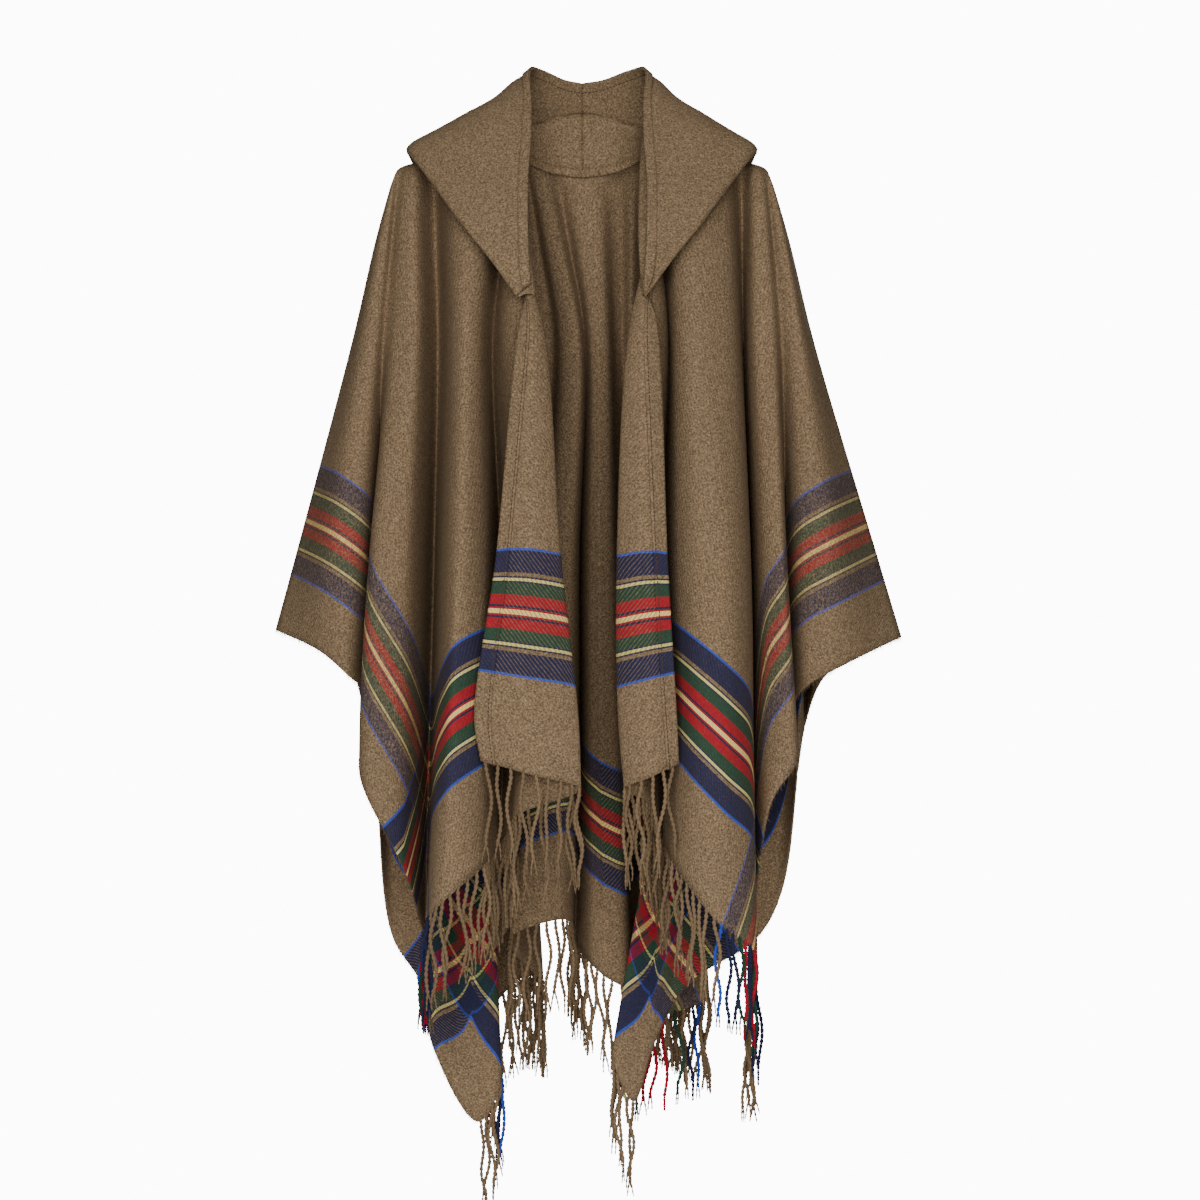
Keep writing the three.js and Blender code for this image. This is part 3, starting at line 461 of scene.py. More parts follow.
def hood_grid(half):
    """Places of a hood half by section and row, with their flat places, and the row where its hem starts."""
    places, flats = [], []
    run = 0
    last_mouth = None
    for s in np.linspace(0, 1, HOOD_SECTIONS + 1):
        section = hood_section(half, s)
        mouth = half["hood_mouth"].at(s)[0]
        run += 0 if last_mouth is None else float(np.linalg.norm(mouth - last_mouth))
        last_mouth = mouth
        hem_start = 1 - HOOD_HEM_WIDTH / section.length
        parts = np.concatenate([np.linspace(0, hem_start, HOOD_ROWS), np.linspace(hem_start, 1, 5)[1:]])
        line = section.along(parts)
        if s == 1:
            line[:, 0] = half["side"] * SEAM_HALF
        places.append(line)
        flats.append(np.stack([np.full(len(parts), half["side"] * run), parts * section.length], -1))
    return np.array(places), np.array(flats)


def sheet_mesh(name, grids):
    """One mesh from grids of places, flat places and a flip each, in millimetres."""
    places, flats, faces = [], [], []
    for grid, flat, flip in grids:
        base = sum(len(p) for p in places)
        columns, stations = grid.shape[:2]
        places.append(grid.reshape(-1, 3))
        flats.append(flat.reshape(-1, 2))
        index = base + np.arange(columns * stations).reshape(columns, stations)
        quads = np.stack([index[:-1, :-1], index[:-1, 1:], index[1:, 1:], index[1:, :-1]], -1).reshape(-1, 4)
        faces.append(quads[:, ::-1] if flip else quads)
    places = np.vstack(places) * MM
    flats = np.vstack(flats) * MM
    mesh = bpy.data.meshes.new(name)
    mesh.from_pydata(places.tolist(), [], np.vstack(faces).tolist())
    layer = mesh.uv_layers.new(name="flat")
    corners = np.empty(len(mesh.loops), int)
    mesh.loops.foreach_get("vertex_index", corners)
    layer.data.foreach_set("uv", flats[corners].ravel())
    shape = bmesh.new()
    shape.from_mesh(mesh)
    bmesh.ops.remove_doubles(shape, verts=shape.verts, dist=0.00002)
    bmesh.ops.dissolve_degenerate(shape, edges=shape.edges, dist=0.000005)
    shape.to_mesh(mesh)
    shape.free()
    mesh.shade_smooth()
    return mesh


def wall_object(name, mesh, thickness, materials):
    """Gives a sheet its thickness and materials, right side first."""
    obj = bpy.data.objects.new(name, mesh)
    bpy.context.scene.collection.objects.link(obj)
    for material in materials:
        mesh.materials.append(material)
    wall = obj.modifiers.new("thickness", "SOLIDIFY")
    wall.thickness = thickness
    wall.offset = 0.0
    wall.material_offset = len(materials) - 1
    return applied(obj)


def applied(obj):
    """Turns what the modifiers make into the object's own mesh."""
    mesh = bpy.data.meshes.new_from_object(obj.evaluated_get(bpy.context.evaluated_depsgraph_get()))
    obj.modifiers.clear()
    old = obj.data
    obj.data = mesh
    mesh.name = obj.name
    if old.users == 0:
        bpy.data.meshes.remove(old)
    return obj


def dressed(obj, *nodes):
    """Puts a piece on its body, in place of its nodes."""
    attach(obj, BODY)
    if nodes:
        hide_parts(*nodes)
    return obj


def stripe_part(tree, value, name):
    """Colour and cover of a band at a distance from its middle, in metres."""
    colours = bpy.context.scene.cape_colours
    part = add(tree, "ShaderNodeMath", {0: value, 1: BAND_HALF * MM}, operation="DIVIDE")
    node = add(tree, "ShaderNodeValToRGB", {0: part}, label=name).node
    ramp = node.color_ramp
    ramp.interpolation = "CONSTANT"
    start = 0.0
    for number, (edge, colour, cover) in enumerate(STRIPES):
        stop = ramp.elements[0] if number == 0 else ramp.elements.new(start)
        stop.position = start
        stop.color = (*getattr(colours, colour), cover)
        start = edge / BAND_HALF
    while len(ramp.elements) > len(STRIPES):
        ramp.elements.remove(ramp.elements[-1])
    inside = add(tree, "ShaderNodeMath", {0: value, 1: BAND_HALF * MM}, operation="LESS_THAN")
    cover = add(tree, "ShaderNodeMath", {0: node.outputs["Alpha"], 1: inside}, operation="MULTIPLY")
    return node.outputs["Color"], cover


def new_material(name):
    """A material without nodes, and its tree."""
    material = bpy.data.materials.new(name)
    material.use_nodes = True
    material.node_tree.nodes.clear()
    return material, material.node_tree


def twill_material(name, face):
    """Brushed wool twill, soft, matt and flecked: its weft stripes are full on the right side, where the
    nap hides half of the warp stripes, and diagonal lines cross them on the wrong side."""
    sizes = bpy.context.scene.cape_sizes
    colours = bpy.context.scene.cape_colours
    material, tree = new_material(name)
    right = face == "right"
    flat = add(tree, "ShaderNodeUVMap", uv_map="flat")
    from_middle, along, _ = add(tree, "ShaderNodeSeparateXYZ", {0: flat}).node.outputs
    across = add(tree, "ShaderNodeMath", {0: from_middle}, operation="ABSOLUTE")
    # Diagonal ribs of the weave, drawn about a third coarser than they are so that they show
    lean = add(tree, "ShaderNodeMath", {0: along, 1: 0.8, 2: across}, operation="MULTIPLY_ADD")
    wobble = add(tree, "ShaderNodeTexNoise", {"Vector": flat, "Scale": WOBBLES_PER_METRE, "Detail": 2.0})
    lean = add(tree, "ShaderNodeMath", {0: wobble, 1: sizes.rib_pitch * 0.5, 2: lean},
               operation="MULTIPLY_ADD")
    count = add(tree, "ShaderNodeMath", {0: lean, 1: sizes.rib_pitch / 2}, operation="DIVIDE")
    rib = add(tree, "ShaderNodeMath", {0: count, 1: 1.0}, operation="PINGPONG")
    line = add(tree, "ShaderNodeMapRange", {0: rib, 1: 0.6, 2: 0.85})
    # Flecks of lighter and darker wool, as brushing leaves them
    place = add(tree, "ShaderNodeTexCoord", output="Object")
    fleck = add(tree, "ShaderNodeTexNoise", {
        "Vector": place, "Scale": FLECKS_PER_METRE, "Detail": 3.0, "Roughness": 0.75})
    cloud = add(tree, "ShaderNodeTexNoise", {
        "Vector": flat, "Scale": CLOUDS_PER_METRE, "Detail": 3.0, "Roughness": 0.6})
    base = add(tree, "ShaderNodeValToRGB", {0: fleck})
    base.node.color_ramp.elements[0].position = 0.3
    base.node.color_ramp.elements[0].color = (*colours.camel_dark, 1)
    base.node.color_ramp.elements[1].position = 0.7
    base.node.color_ramp.elements[1].color = (*colours.camel_light, 1)
    middle = base.node.color_ramp.elements.new(0.5)
    middle.color = (*colours.camel, 1)
    # Stripes of the two bands
    bands = []
    for name_of_band, at, middles in (("side band", across, [SIDE_BAND_MIDDLE]),
                                      ("hem band", along, [HEM_BAND_CENTRE, HEM_BAND_REACH])):
        for middle_line in middles:
            at = add(tree, "ShaderNodeMath", {0: at, 1: middle_line * MM}, operation="SUBTRACT")
            at = add(tree, "ShaderNodeMath", {0: at}, operation="ABSOLUTE")
        bands.append(stripe_part(tree, at, name_of_band))
    (side_colour, side_cover), (hem_colour, hem_cover) = bands
    warp_low, warp_high = (0.2, 0.92) if right else (0.92, 0.96)
    weft_low, weft_high = (0.95, 0.82) if right else (0.96, 0.35)
    nap = add(tree, "ShaderNodeMapping", {"Vector": place, "Scale": (1.0, 1.0, 0.55)})
    nap = add(tree, "ShaderNodeTexNoise", {
        "Vector": nap, "Scale": HAIRS_PER_METRE, "Detail": 4.0, "Roughness": 0.8})
    worn = add(tree, "ShaderNodeMapRange", {0: nap, 1: 0.4, 2: 0.6})
    warp = add(tree, "ShaderNodeMapRange", {0: worn, 3: warp_low, 4: warp_high})
    weft = add(tree, "ShaderNodeMapRange", {0: line, 3: weft_low, 4: weft_high})
    warp = add(tree, "ShaderNodeMath", {0: warp, 1: side_cover}, operation="MULTIPLY")
    thinner = add(tree, "ShaderNodeMapRange", {0: side_cover, 3: 1.0, 4: 0.62})
    weft = add(tree, "ShaderNodeMath", {0: weft, 1: hem_cover}, operation="MULTIPLY")
    weft = add(tree, "ShaderNodeMath", {0: weft, 1: thinner}, operation="MULTIPLY")
    colour = add(tree, "ShaderNodeMix", {0: warp, 6: base, 7: side_colour}, data_type="RGBA", output=2)
    colour = add(tree, "ShaderNodeMix", {0: weft, 6: colour, 7: hem_colour}, data_type="RGBA", output=2)
    shade = add(tree, "ShaderNodeMapRange", {0: cloud, 1: 0.3, 2: 0.7, 3: 0.93, 4: 1.06})
    ribbed = add(tree, "ShaderNodeMapRange", {0: rib, 3: 1.06, 4: 0.9})
    shade = add(tree, "ShaderNodeMath", {0: shade, 1: ribbed}, operation="MULTIPLY")
    grain = add(tree, "ShaderNodeMapRange", {0: fleck, 1: 0.3, 2: 0.7, 3: 0.9, 4: 1.1})
    shade = add(tree, "ShaderNodeMath", {0: shade, 1: grain}, operation="MULTIPLY")
    colour = add(tree, "ShaderNodeVectorMath", {0: colour, 1: shade}, operation="MULTIPLY")
    height = add(tree, "ShaderNodeMath", {0: rib, 1: 0.6, 2: fleck}, operation="MULTIPLY_ADD")
    bump = add(tree, "ShaderNodeBump", {"Height": height, "Strength": 0.5, "Distance": 0.0006})
    cloth = add(tree, "ShaderNodeBsdfPrincipled", {
        "Base Color": colour, "Roughness": 0.92, "Specular IOR Level": 0.2, "Sheen Weight": 0.08,
        "Sheen Roughness": 0.5, "Sheen Tint": (*colours.camel_light, 1), "Normal": bump})
    add(tree, "ShaderNodeOutputMaterial", {0: cloth})
    return material


def material_once(name, maker, *args):
    """Gives the material of this name, made the first time."""
    return bpy.data.materials.get(name) or maker(name, *args)


def cloth_materials():
    """The two sides of the brushed twill, right side first."""
    return [material_once(f"brushed_wool_twill_{face}", twill_material, face) for face in ("right", "wrong")]


def colour_property(name, description, hex_colour):
    return bpy.props.FloatVectorProperty(
        name=name, description=description, subtype="COLOR", size=3, min=0, max=1, default=linear(hex_colour))


def length_property(name, description, metres):
    return bpy.props.FloatProperty(name=name, description=description, default=metres, unit="LENGTH")


class CapeSizes(bpy.types.PropertyGroup):
    cloth: length_property("Cloth", "Thickness of the cloth", 0.0014)
    trim: length_property("Trim", "Thickness of the hems and the binding", 0.0014)
    rib_pitch: length_property("Rib pitch", "Distance between the diagonal ribs of the twill", 0.0038)
    fringe_pitch: length_property("Fringe pitch", "Distance between two strands", 0.011)
    fringe_length: length_property("Fringe length", "Length of a strand with its tails", 0.104)
    strand_radius: length_property("Strand radius", "Half the width of a twisted strand", 0.0023)
    twist_length: length_property("Twist length", "Length of one turn of a strand's plies", 0.011)
    stitch_length: length_property("Stitch length", "Length of one sewn stitch", 0.0028)
    lash_length: length_property("Lash length", "Length of the loose fibres on a raw edge", 0.0045)


class CapeColours(bpy.types.PropertyGroup):
    camel: colour_property("Camel", "Main colour of the wool", "78634a")
    camel_light: colour_property("Light camel", "Lighter fibres of the wool", "9c8668")
    camel_dark: colour_property("Dark camel", "Darker fibres of the wool", "4c3d2e")
    thread: colour_property("Thread", "Sewing thread", "4d3c2f")
    royal: colour_property("Royal blue", "Edge stripes of the bands", "2b48a6")
    navy: colour_property("Navy", "Wide outer stripes of the bands", "1d2140")
    yellow: colour_property("Yellow", "Fine stripes of the bands", "ddd27c")
    green: colour_property("Green", "Green stripes of the bands", "1e4031")
    red: colour_property("Red", "Red stripes of the bands", "9a0f24")
    cream: colour_property("Cream", "Middle stripe of the bands", "ecca7c")
    floor: colour_property("Floor", "Pale floor", "f4f3f1")


class CAPE_OT_stage(bpy.types.Operator):
    """Sets the pale floor, the soft lights and the camera"""
    bl_idname = "cape.stage"
    bl_label = "Stage"

    FLOOR_HEIGHT = -1.32
    FLOOR_RADIUS = 1.8
    PHOTO_DISTANCE = 4.0
    PHOTO_CENTRE = (0.018, -0.430)
    PHOTO_WIDTH = 1.2
    SENSOR = 36
    SKY_LIGHT = 0.05
    SKY_SHOWN = 12.0
    # Name, place, width and power of each soft light
    LIGHTS = (
        ("key", (-0.1, -4.0, 0.2), 2.4, 184),
        ("top", (0.0, -0.6, 2.3), 1.2, 10),
        ("back", (0.5, 3.6, 0.7), 1.0, 90),
    )

    def execute(self, context):
        colours = context.scene.cape_colours
        steps = [2 * math.pi * k / 48 for k in range(48)]
        rim = [(self.FLOOR_RADIUS * math.cos(a), self.FLOOR_RADIUS * math.sin(a), self.FLOOR_HEIGHT)
               for a in steps]
        mesh = bpy.data.meshes.new("floor")
        mesh.from_pydata(rim, [], [list(range(48))])
        floor = bpy.data.objects.new("floor", mesh)
        context.scene.collection.objects.link(floor)
        # Matt painted board, which gives an even pale ground
        paint, tree = new_material("matt_floor_paint")
        board = add(tree, "ShaderNodeBsdfPrincipled", {
            "Base Color": (*colours.floor, 1), "Roughness": 0.9, "Emission Color": (*colours.floor, 1),
            "Emission Strength": 0.25})
        add(tree, "ShaderNodeOutputMaterial", {0: board})
        mesh.materials.append(paint)
        world = bpy.data.worlds.new("studio")
        world.use_nodes = True
        world.node_tree.nodes.clear()
        # The ground behind is paper white, and lights the cloth less than it shows
        seen = add(world.node_tree, "ShaderNodeLightPath", output="Is Camera Ray")
        strength = add(world.node_tree, "ShaderNodeMapRange", {0: seen, 3: self.SKY_LIGHT, 4: self.SKY_SHOWN})
        sky = add(world.node_tree, "ShaderNodeBackground", {"Color": (1, 1, 1, 1), "Strength": strength})
        add(world.node_tree, "ShaderNodeOutputWorld", {0: sky})
        context.scene.world = world
        for name, place, size, power in self.LIGHTS:
            lamp = bpy.data.lights.new(name, "AREA")
            lamp.size = size
            lamp.energy = power
            light = bpy.data.objects.new(name, lamp)
            light.location = place
            aim = np.array((0.0, 0.0, -0.45)) - place
            light.rotation_euler = Vector(aim).to_track_quat("-Z", "Y").to_euler()
            context.scene.collection.objects.link(light)
        lens = bpy.data.cameras.new("photo_camera")
        lens.sensor_width = self.SENSOR
        lens.lens = self.SENSOR * self.PHOTO_DISTANCE / self.PHOTO_WIDTH
        lens.clip_end = 100
        camera = bpy.data.objects.new("photo_camera", lens)
        camera.location = (self.PHOTO_CENTRE[0], -self.PHOTO_DISTANCE, self.PHOTO_CENTRE[1])
        camera.rotation_euler = (math.pi / 2, 0, 0)
        context.scene.collection.objects.link(camera)
        context.scene.camera = camera
        return {"FINISHED"}


class CAPE_OT_blanket(bpy.types.Operator):
    """Drapes the blanket cloth over the shoulders in its folds"""
    bl_idname = "cape.blanket"
    bl_label = "Blanket"

    def execute(self, context):
        stations = np.linspace(0, 1, STATION_COUNT + 1)
        grids = []
        for half in HALVES.values():
            for panel in (half["front"], half["back"]):
                columns = np.arange(panel.last * COLUMNS_PER_FOLD + 1) / COLUMNS_PER_FOLD
                places, flats = panel.grid(columns, stations)
                grids.append((places, flats, half["side"] > 0))
        materials = cloth_materials()[::-1]
        blanket = wall_object("blanket_cloth", sheet_mesh("blanket_cloth", grids),
                              context.scene.cape_sizes.cloth, materials)
        dressed(blanket, "blanket")
        return {"FINISHED"}


class CAPE_OT_hood(bpy.types.Operator):
    """Lays the two halves of the hood down over the shoulders"""
    bl_idname = "cape.hood"
    bl_label = "Hood"

    def execute(self, context):
        materials = cloth_materials()
        for name, half in HALVES.items():
            places, flats = hood_grid(half)
            mesh = sheet_mesh(f"hood_{name}_cloth", [(places, flats, half["side"] < 0)])
            hood = wall_object(f"hood_{name}_cloth", mesh, context.scene.cape_sizes.cloth, materials)
            dressed(hood, f"hood_{name}")
        return {"FINISHED"}


def polyline_mesh(name, lines, attributes):
    """A mesh of open lines in millimetres, with values at each point."""
    mesh = bpy.data.meshes.new(name)
    points = np.vstack(lines) * MM
    edges = []
    first = 0
    for line in lines:
        edges += [(first + k, first + k + 1) for k in range(len(line) - 1)]
        first += len(line)
    mesh.from_pydata(points.tolist(), edges, [])
    for key, kind, values in attributes:
        layer = mesh.attributes.new(key, kind, "POINT")
        field = {"FLOAT": "value", "FLOAT_VECTOR": "vector", "FLOAT_COLOR": "color"}[kind]
        layer.data.foreach_set(field, np.asarray(values, np.float32).ravel())
    return mesh


def grown(name, mesh, tree, values, material):
    """Runs a Geometry Nodes tree on a mesh and keeps what it makes as a plain mesh."""
    obj = bpy.data.objects.new(name, mesh)
    bpy.context.scene.collection.objects.link(obj)
    modifier = obj.modifiers.new("nodes", "NODES")
    modifier.node_group = tree
    for item in tree.interface.items_tree:
        if item.item_type == "SOCKET" and item.in_out == "INPUT" and item.name in values:
            modifier[item.identifier] = values[item.name]
    applied(obj)
    if not obj.data.materials:
        obj.data.materials.append(material)
    obj.data.shade_smooth()
    return obj


def new_tree(name, inputs):
    """A Geometry Nodes tree that turns lines into curves: the tree, its inputs by name, and its curves."""
    tree = bpy.data.node_groups.new(name, "GeometryNodeTree")
    tree.interface.new_socket("Geometry", in_out="INPUT", socket_type="NodeSocketGeometry")
    tree.interface.new_socket("Geometry", in_out="OUTPUT", socket_type="NodeSocketGeometry")
    for label, kind in inputs:
        tree.interface.new_socket(label, in_out="INPUT", socket_type=f"NodeSocket{kind}")
    tree.interface.new_socket("Material", in_out="INPUT", socket_type="NodeSocketMaterial")
    own = add(tree, "NodeGroupInput").node.outputs
    return tree, own, add(tree, "GeometryNodeMeshToCurve", {0: own[0]})


def ended(tree, geometry, material):
    """Ends a tree in real geometry with its material."""
    real = add(tree, "GeometryNodeRealizeInstances", {0: geometry})
    painted = add(tree, "GeometryNodeSetMaterial", {0: real, "Material": material})
    add(tree, "NodeGroupOutput", {0: painted})


def rope_tree():
    """Sweeps a flattened round along each line and turns it, as two plies twisted together."""
    tree, inputs, curve = new_tree("twisted_strands", (("Strand Radius", "Float"), ("Twist Length", "Float")))
    along = add(tree, "GeometryNodeSplineParameter", output="Length")
    turns = add(tree, "ShaderNodeMath", {0: along, 1: inputs["Twist Length"]}, operation="DIVIDE")
    angle = add(tree, "ShaderNodeMath", {0: turns, 1: math.tau}, operation="MULTIPLY")
    curve = add(tree, "GeometryNodeSetCurveTilt", {0: curve, "Tilt": angle})
    girth = add(tree, "GeometryNodeInputNamedAttribute", {"Name": "girth"}, data_type="FLOAT")
    ring = add(tree, "GeometryNodeCurvePrimitiveCircle", {
        "Resolution": STRAND_SIDES, "Radius": inputs["Strand Radius"]})
    ring = add(tree, "GeometryNodeTransform", {0: ring, "Scale": (1.0, STRAND_FLATNESS, 1.0)})
    rope = add(tree, "GeometryNodeCurveToMesh", {
        "Curve": curve, "Profile Curve": ring, "Scale": girth, "Fill Caps": True})
    ended(tree, rope, inputs["Material"])
    return tree


def stitch_tree():
    """Lays small bowed stitches end to end along each line."""
    tree, inputs, curve = new_tree("stitches", (
        ("Stitch Length", "Float"), ("Stitch Gap", "Float"), ("Thread Radius", "Float")))
    pitch = add(tree, "ShaderNodeMath", {0: inputs["Stitch Length"], 1: inputs["Stitch Gap"]},
                operation="ADD")
    curve = add(tree, "GeometryNodeResampleCurve", {0: curve, "Length": pitch}, mode="LENGTH")
    tangent = add(tree, "GeometryNodeInputTangent")
    turn = add(tree, "FunctionNodeAlignRotationToVector", {"Vector": tangent}, axis="X")
    half = add(tree, "ShaderNodeMath", {0: inputs["Stitch Length"], 1: 0.5}, operation="MULTIPLY")
    back = add(tree, "ShaderNodeMath", {0: half, 1: -1.0}, operation="MULTIPLY")
    start = add(tree, "ShaderNodeCombineXYZ", {0: back})
    middle = add(tree, "ShaderNodeCombineXYZ", {2: inputs["Thread Radius"]})
    end = add(tree, "ShaderNodeCombineXYZ", {0: half})
    bow = add(tree, "GeometryNodeCurveQuadraticBezier", {
        "Resolution": 3, "Start": start, "Middle": middle, "End": end})
    ring = add(tree, "GeometryNodeCurvePrimitiveCircle", {"Resolution": 5, "Radius": inputs["Thread Radius"]})
    stitch = add(tree, "GeometryNodeCurveToMesh", {
        "Curve": bow, "Profile Curve": ring, "Fill Caps": True})
    sewn = add(tree, "GeometryNodeInstanceOnPoints", {
        "Points": curve, "Instance": stitch, "Rotation": turn})
    ended(tree, sewn, inputs["Material"])
    return tree


def lash_tree():
    """Stands short loose fibres along each line, away from the cloth."""
    tree, inputs, curve = new_tree("edge_lashes", (
        ("Lash Length", "Float"), ("Lash Gap", "Float"), ("Seed", "Int")))
    curve = add(tree, "GeometryNodeResampleCurve", {0: curve, "Length": inputs["Lash Gap"]},
                mode="LENGTH")
    outward = add(tree, "GeometryNodeInputNamedAttribute", {"Name": "outward"}, data_type="FLOAT_VECTOR")
    spread = add(tree, "FunctionNodeRandomValue", {
        0: (-0.55, -0.55, -0.55), 1: (0.55, 0.55, 0.55), "Seed": inputs["Seed"]},
        data_type="FLOAT_VECTOR")
    lean = add(tree, "ShaderNodeVectorMath", {0: outward, 1: spread}, operation="ADD")
    turn = add(tree, "FunctionNodeAlignRotationToVector", {"Vector": lean}, axis="Z")
    size = add(tree, "FunctionNodeRandomValue", {2: 0.45, 3: 1.25, "Seed": inputs["Seed"]},
               data_type="FLOAT", output=1)
    lash = add(tree, "GeometryNodeMeshCone", {
        "Vertices": 3, "Radius Top": LASH_TIP, "Radius Bottom": LASH_ROOT, "Depth": inputs["Lash Length"]})
    lashes = add(tree, "GeometryNodeInstanceOnPoints", {
        "Points": curve, "Instance": lash, "Rotation": turn, "Scale": size})
    ended(tree, lashes, inputs["Material"])
    return tree


def yarn_material(name, attribute):
    """Twisted wool yarn: soft, matt and a little uneven in colour along its plies."""
    colours = bpy.context.scene.cape_colours
    material, tree = new_material(name)
    place = add(tree, "ShaderNodeTexCoord", output="Object")
    fibre = add(tree, "ShaderNodeTexNoise", {
        "Vector": place, "Scale": FIBRES_PER_METRE, "Detail": 3.0, "Roughness": 0.65})
    shade = add(tree, "ShaderNodeMapRange", {0: fibre, 1: 0.3, 2: 0.7, 3: 0.72, 4: 1.2})
    if attribute:
        own = add(tree, "ShaderNodeAttribute", attribute_name=attribute, output="Color")
    else:
        own = tuple(colours.thread)
    colour = add(tree, "ShaderNodeVectorMath", {0: own, 1: shade}, operation="MULTIPLY")
    bump = add(tree, "ShaderNodeBump", {
        "Height": fibre, "Strength": 0.4, "Distance": 0.0004})
    yarn = add(tree, "ShaderNodeBsdfPrincipled", {
        "Base Color": colour, "Roughness": 0.9, "Specular IOR Level": 0.2, "Sheen Weight": 0.08,
        "Sheen Roughness": 0.5, "Sheen Tint": (*colours.camel_light, 1), "Normal": bump})
    add(tree, "ShaderNodeOutputMaterial", {0: yarn})
    return material


def stripe_colour(across):
    """Colour of the warp at a distance from the middle of the cloth, in millimetres."""
    colours = bpy.context.scene.cape_colours
    off = abs(abs(across) - SIDE_BAND_MIDDLE)
    name = next((colour for edge, colour, _ in STRIPES if off < edge), "camel")
    return np.array(getattr(colours, name))


def edge_of(panel, on_hem):
    """The hem or the raw side edge of a panel: its places, flat places and directions off the cloth."""
    columns = np.arange(panel.last * COLUMNS_PER_FOLD + 1) / COLUMNS_PER_FOLD
    places, flats = panel.grid(columns, EDGE_STATIONS)
    end = flats[:, 1]
    hem = np.minimum(abs(end[:, 1] - FRONT_END), abs(end[:, 1] - BACK_END)) < 0.001
    side = abs(abs(end[:, 0]) - HALF_WIDTH) < 0.001
    keep = hem if on_hem else side
    off = unit(places[:, 1] - places[:, 0])
    return places[keep, 1], end[keep], off[keep]


def strand_lines(edges, sizes, rng):
    """Lines, girths and colours of the strands along a hem, each hanging a little its own way."""
    places = np.vstack([edge[0] for edge in edges])
    flats = np.vstack([edge[1] for edge in edges])
    offs = np.vstack([edge[2] for edge in edges])
    order = np.argsort(flats[:, 0], kind="stable")
    across, places, offs = flats[order, 0], places[order], offs[order]
    pitch = sizes.fringe_pitch / MM
    length = sizes.fringe_length / MM
    down = np.array((0.0, 0.0, -1.0))
    lines, girths, yarns = [], [], []
    for u in np.arange(across[0] + pitch / 2, across[-1], pitch):
        root, off = (np.array([np.interp(u, across, values[:, k]) for k in range(3)])
                     for values in (places, offs))
        tails = rng.uniform(SHORTEST_TAIL, LONGEST_TAIL)
        body = length - tails - rng.uniform(0, 7)
        angle = rng.uniform(0, math.tau)
        aside = np.array((math.cos(angle), math.sin(angle), 0.0))
        other = np.array((-aside[1], aside[0], 0.0))
        colour = stripe_colour(u) * rng.uniform(0.82, 1.12)
        count = int(body / STRAND_STEP)
        waves = rng.uniform(0.03, 0.055, 2)
        phases = rng.uniform(0, math.tau, 2)
        lean = rng.uniform(-0.035, 0.035, 2)
        line = [root - off * 2]
        for k in range(count):
            d = (k + 0.5) * STRAND_STEP
            blend = min(1, d / STRAND_BEND) ** 0.7
            sway = (aside * (math.sin(d * waves[0] * 2 + phases[0]) * STRAND_SWAY + lean[0])
                    + other * (math.sin(d * waves[1] * 2 + phases[1]) * STRAND_SWAY + lean[1]))
            line.append(line[-1] + unit(lerp(off, down, blend) + sway * blend) * STRAND_STEP)
        lines.append(np.array(line))
        girths.append(np.concatenate([np.full(3, 0.85), np.linspace(1, 0.92, len(line) - 3)]))
        yarns.append(np.tile((*colour, 1), (len(line), 1)))
        end = line[-1]
        for way in (-1, 1):
            spread = rng.uniform(0.16, 0.42) * way
            curl = rng.uniform(-0.2, 0.2)
            tail = [end - (line[-1] - line[-2])]
            for k in range(TAIL_STEPS + 1):
                bend = spread * (1 - k / TAIL_STEPS) + curl * k / TAIL_STEPS
                tail.append(tail[-1] + unit(down + aside * bend + other * bend * 0.4) * tails / TAIL_STEPS)
            lines.append(np.array(tail))
            girths.append(np.linspace(0.72, 0.34, len(tail)))
            yarns.append(np.tile((*colour, 1), (len(tail), 1)))
    return lines, np.concatenate(girths), np.vstack(yarns)


class CAPE_OT_fringe(bpy.types.Operator):
    """Hangs the twisted strands from the two front hems and the back hem"""
    bl_idname = "cape.fringe"
    bl_label = "Fringe"

    def execute(self, context):
        sizes = context.scene.cape_sizes
        tree = rope_tree()
        yarn = material_once("twisted_wool_yarn", yarn_material, "yarn")
        left, right = HALVES["left"], HALVES["right"]
        for number, (name, panels) in enumerate((
                ("fringe_front_left", [left["front"]]), ("fringe_front_right", [right["front"]]),
                ("fringe_back", [left["back"], right["back"]]))):
            rng = np.random.default_rng(number + 11)
            lines, girths, yarns = strand_lines([edge_of(panel, True) for panel in panels], sizes, rng)
            mesh = polyline_mesh(f"{name}_strands", lines, (
                ("girth", "FLOAT", girths), ("yarn", "FLOAT_COLOR", yarns)))
            strands = grown(f"{name}_strands", mesh, tree, {
                "Strand Radius": sizes.strand_radius, "Twist Length": sizes.twist_length,
                "Material": yarn}, yarn)
            dressed(strands, name)
        return {"FINISHED"}


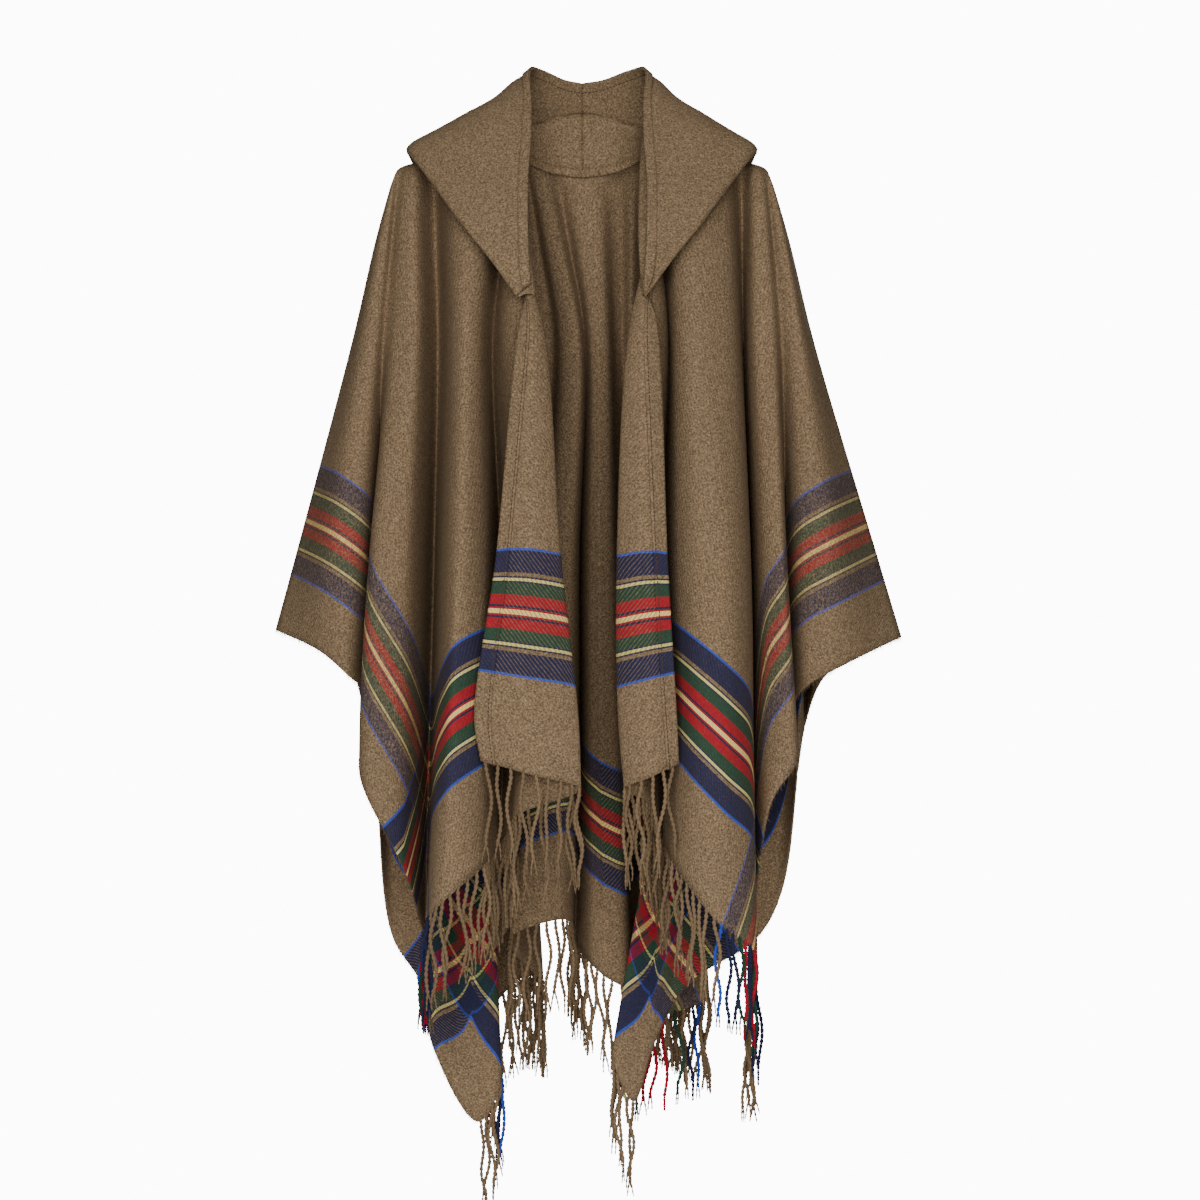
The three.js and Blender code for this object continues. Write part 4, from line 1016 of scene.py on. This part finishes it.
class CAPE_OT_trims(bpy.types.Operator):
    """Adds the turned hems of the hood and the opening, and the binding in the neck"""
    bl_idname = "cape.trims"
    bl_label = "Hems and binding"

    def execute(self, context):
        trim = context.scene.cape_sizes.trim
        materials = cloth_materials()[:1]
        lift = context.scene.cape_sizes.cloth / 2 / MM + TRIM_CLEAR + TRIM_THICKNESS / 2
        for name, half in HALVES.items():
            places, flats = hood_grid(half)
            normals = grid_normals(places, half["side"] < 0)
            hem = slice(HOOD_ROWS - 1, None)
            strip = (places - normals * lift)[:, hem]
            mesh = sheet_mesh(f"hood_hem_{name}_strip", [(strip, flats[:, hem], half["side"] < 0)])
            dressed(wall_object(f"hood_hem_{name}_strip", mesh, trim, materials), f"hood_hem_{name}")
            strip, strip_flats = opening_strip(half, lift)
            mesh = sheet_mesh(f"opening_hem_{name}_strip", [(strip, strip_flats, half["side"] > 0)])
            dressed(wall_object(f"opening_hem_{name}_strip", mesh, trim, materials), f"opening_hem_{name}")
        line = np.vstack([HALVES["left"]["neck_back"].at(np.linspace(1, 0, 25)),
                          HALVES["right"]["neck_back"].at(np.linspace(0, 1, 25)[1:])])
        inward = unit(line * (-1, -1, 0))
        middle = line + inward * BINDING_CLEAR
        run = np.concatenate([[0], np.cumsum(np.linalg.norm(np.diff(line, axis=0), axis=1))])
        rows = np.linspace(-0.5, 0.5, 5)
        strip = np.stack([middle + (0, 0, part * BINDING_WIDTH) + inward * (0.8 * math.cos(part * math.pi))
                          for part in rows], 1)
        flats = np.stack([np.stack([run, np.full(len(run), part * BINDING_WIDTH)], -1) for part in rows], 1)
        mesh = sheet_mesh("neck_binding_strip", [(strip, flats, False)])
        dressed(wall_object("neck_binding_strip", mesh, trim, materials), "neck_binding")
        return {"FINISHED"}


def opening_strip(half, lift):
    """Places of the turned hem along an opening edge, on the side of the cloth that faces out there."""
    panel = half["front"]
    stations = np.linspace(OPENING_HEM_START, 1, 60)
    columns = np.linspace(0, 1, 41)
    places, flats = panel.grid(columns, stations)
    normals = grid_normals(places, half["side"] > 0)
    across = np.linspace(0, OPENING_HEM_WIDTH, 7)
    strip = np.empty((len(across), len(stations), 3))
    for j in range(len(stations)):
        own = abs(flats[:, j, 0])
        for k in range(3):
            strip[:, j, k] = np.interp(across, own, (places + normals * lift)[:, j, k])
    strip_flats = np.stack(np.meshgrid(across * half["side"], flats[0, :, 1], indexing="ij"), -1)
    return strip, strip_flats


class CAPE_OT_stitches(bpy.types.Operator):
    """Sews the stitch lines along the hood and the opening"""
    bl_idname = "cape.stitches"
    bl_label = "Stitches"

    def execute(self, context):
        sizes = context.scene.cape_sizes
        thread = material_once("sewing_thread", yarn_material, None)
        above = sizes.cloth / 2 / MM + STITCH_CLEAR
        lines = []
        for half in HALVES.values():
            places, _ = hood_grid(half)
            normals = grid_normals(places, half["side"] < 0)
            lines.append((places + normals * above)[:, HOOD_ROWS - 1])
            lift = above + TRIM_CLEAR + TRIM_THICKNESS
            strip, _ = opening_strip(half, lift)
            lines.append(strip[-2])
        mesh = polyline_mesh("hem_stitches", lines, ())
        stitches = grown("hem_stitches", mesh, stitch_tree(), {
            "Stitch Length": sizes.stitch_length, "Stitch Gap": STITCH_GAP, "Thread Radius": THREAD_RADIUS,
            "Material": thread}, thread)
        dressed(stitches)
        return {"FINISHED"}


class CAPE_OT_lashes(bpy.types.Operator):
    """Frays the raw side edges of the cloth"""
    bl_idname = "cape.lashes"
    bl_label = "Frayed edges"

    def execute(self, context):
        sizes = context.scene.cape_sizes
        yarn = material_once("loose_wool_fibre", yarn_material, "yarn")
        lines, outward = [], []
        for half in HALVES.values():
            for panel in (half["front"], half["back"]):
                places, _, off = edge_of(panel, False)
                lines.append(places)
                outward.append(off)
        points = sum(len(line) for line in lines)
        camel = np.tile((*context.scene.cape_colours.camel, 1), (points, 1))
        mesh = polyline_mesh("edge_lashes", lines, (
            ("outward", "FLOAT_VECTOR", np.vstack(outward)), ("yarn", "FLOAT_COLOR", camel)))
        lashes = grown("edge_lashes", mesh, lash_tree(), {
            "Lash Length": sizes.lash_length, "Lash Gap": LASH_GAP, "Seed": 5, "Material": yarn}, yarn)
        dressed(lashes)
        return {"FINISHED"}


OPERATORS = (
    CAPE_OT_stage, CAPE_OT_blanket, CAPE_OT_hood, CAPE_OT_trims, CAPE_OT_fringe, CAPE_OT_stitches,
    CAPE_OT_lashes,
)


class CAPE_PT_panel(bpy.types.Panel):
    """Lists the pieces of the cape with their sizes and colours"""
    bl_idname = "CAPE_PT_panel"
    bl_label = "Hooded Cape"
    bl_space_type = "VIEW_3D"
    bl_region_type = "UI"
    bl_category = "Cape"

    def draw(self, context):
        for operator in OPERATORS:
            self.layout.operator(operator.bl_idname)
        for group in (context.scene.cape_sizes, context.scene.cape_colours):
            box = self.layout.box()
            for key in group.__annotations__:
                box.prop(group, key)


CLASSES = (CapeSizes, CapeColours, *OPERATORS, CAPE_PT_panel)


def register():
    for cls in CLASSES:
        bpy.utils.register_class(cls)
    bpy.types.Scene.cape_sizes = bpy.props.PointerProperty(type=CapeSizes)
    bpy.types.Scene.cape_colours = bpy.props.PointerProperty(type=CapeColours)


def unregister():
    del bpy.types.Scene.cape_colours
    del bpy.types.Scene.cape_sizes
    for cls in reversed(CLASSES):
        bpy.utils.unregister_class(cls)


def main():
    register()
    for operator in OPERATORS:
        group, name = operator.bl_idname.split(".")
        getattr(getattr(bpy.ops, group), name)()


if __name__ == "__main__":
    main()
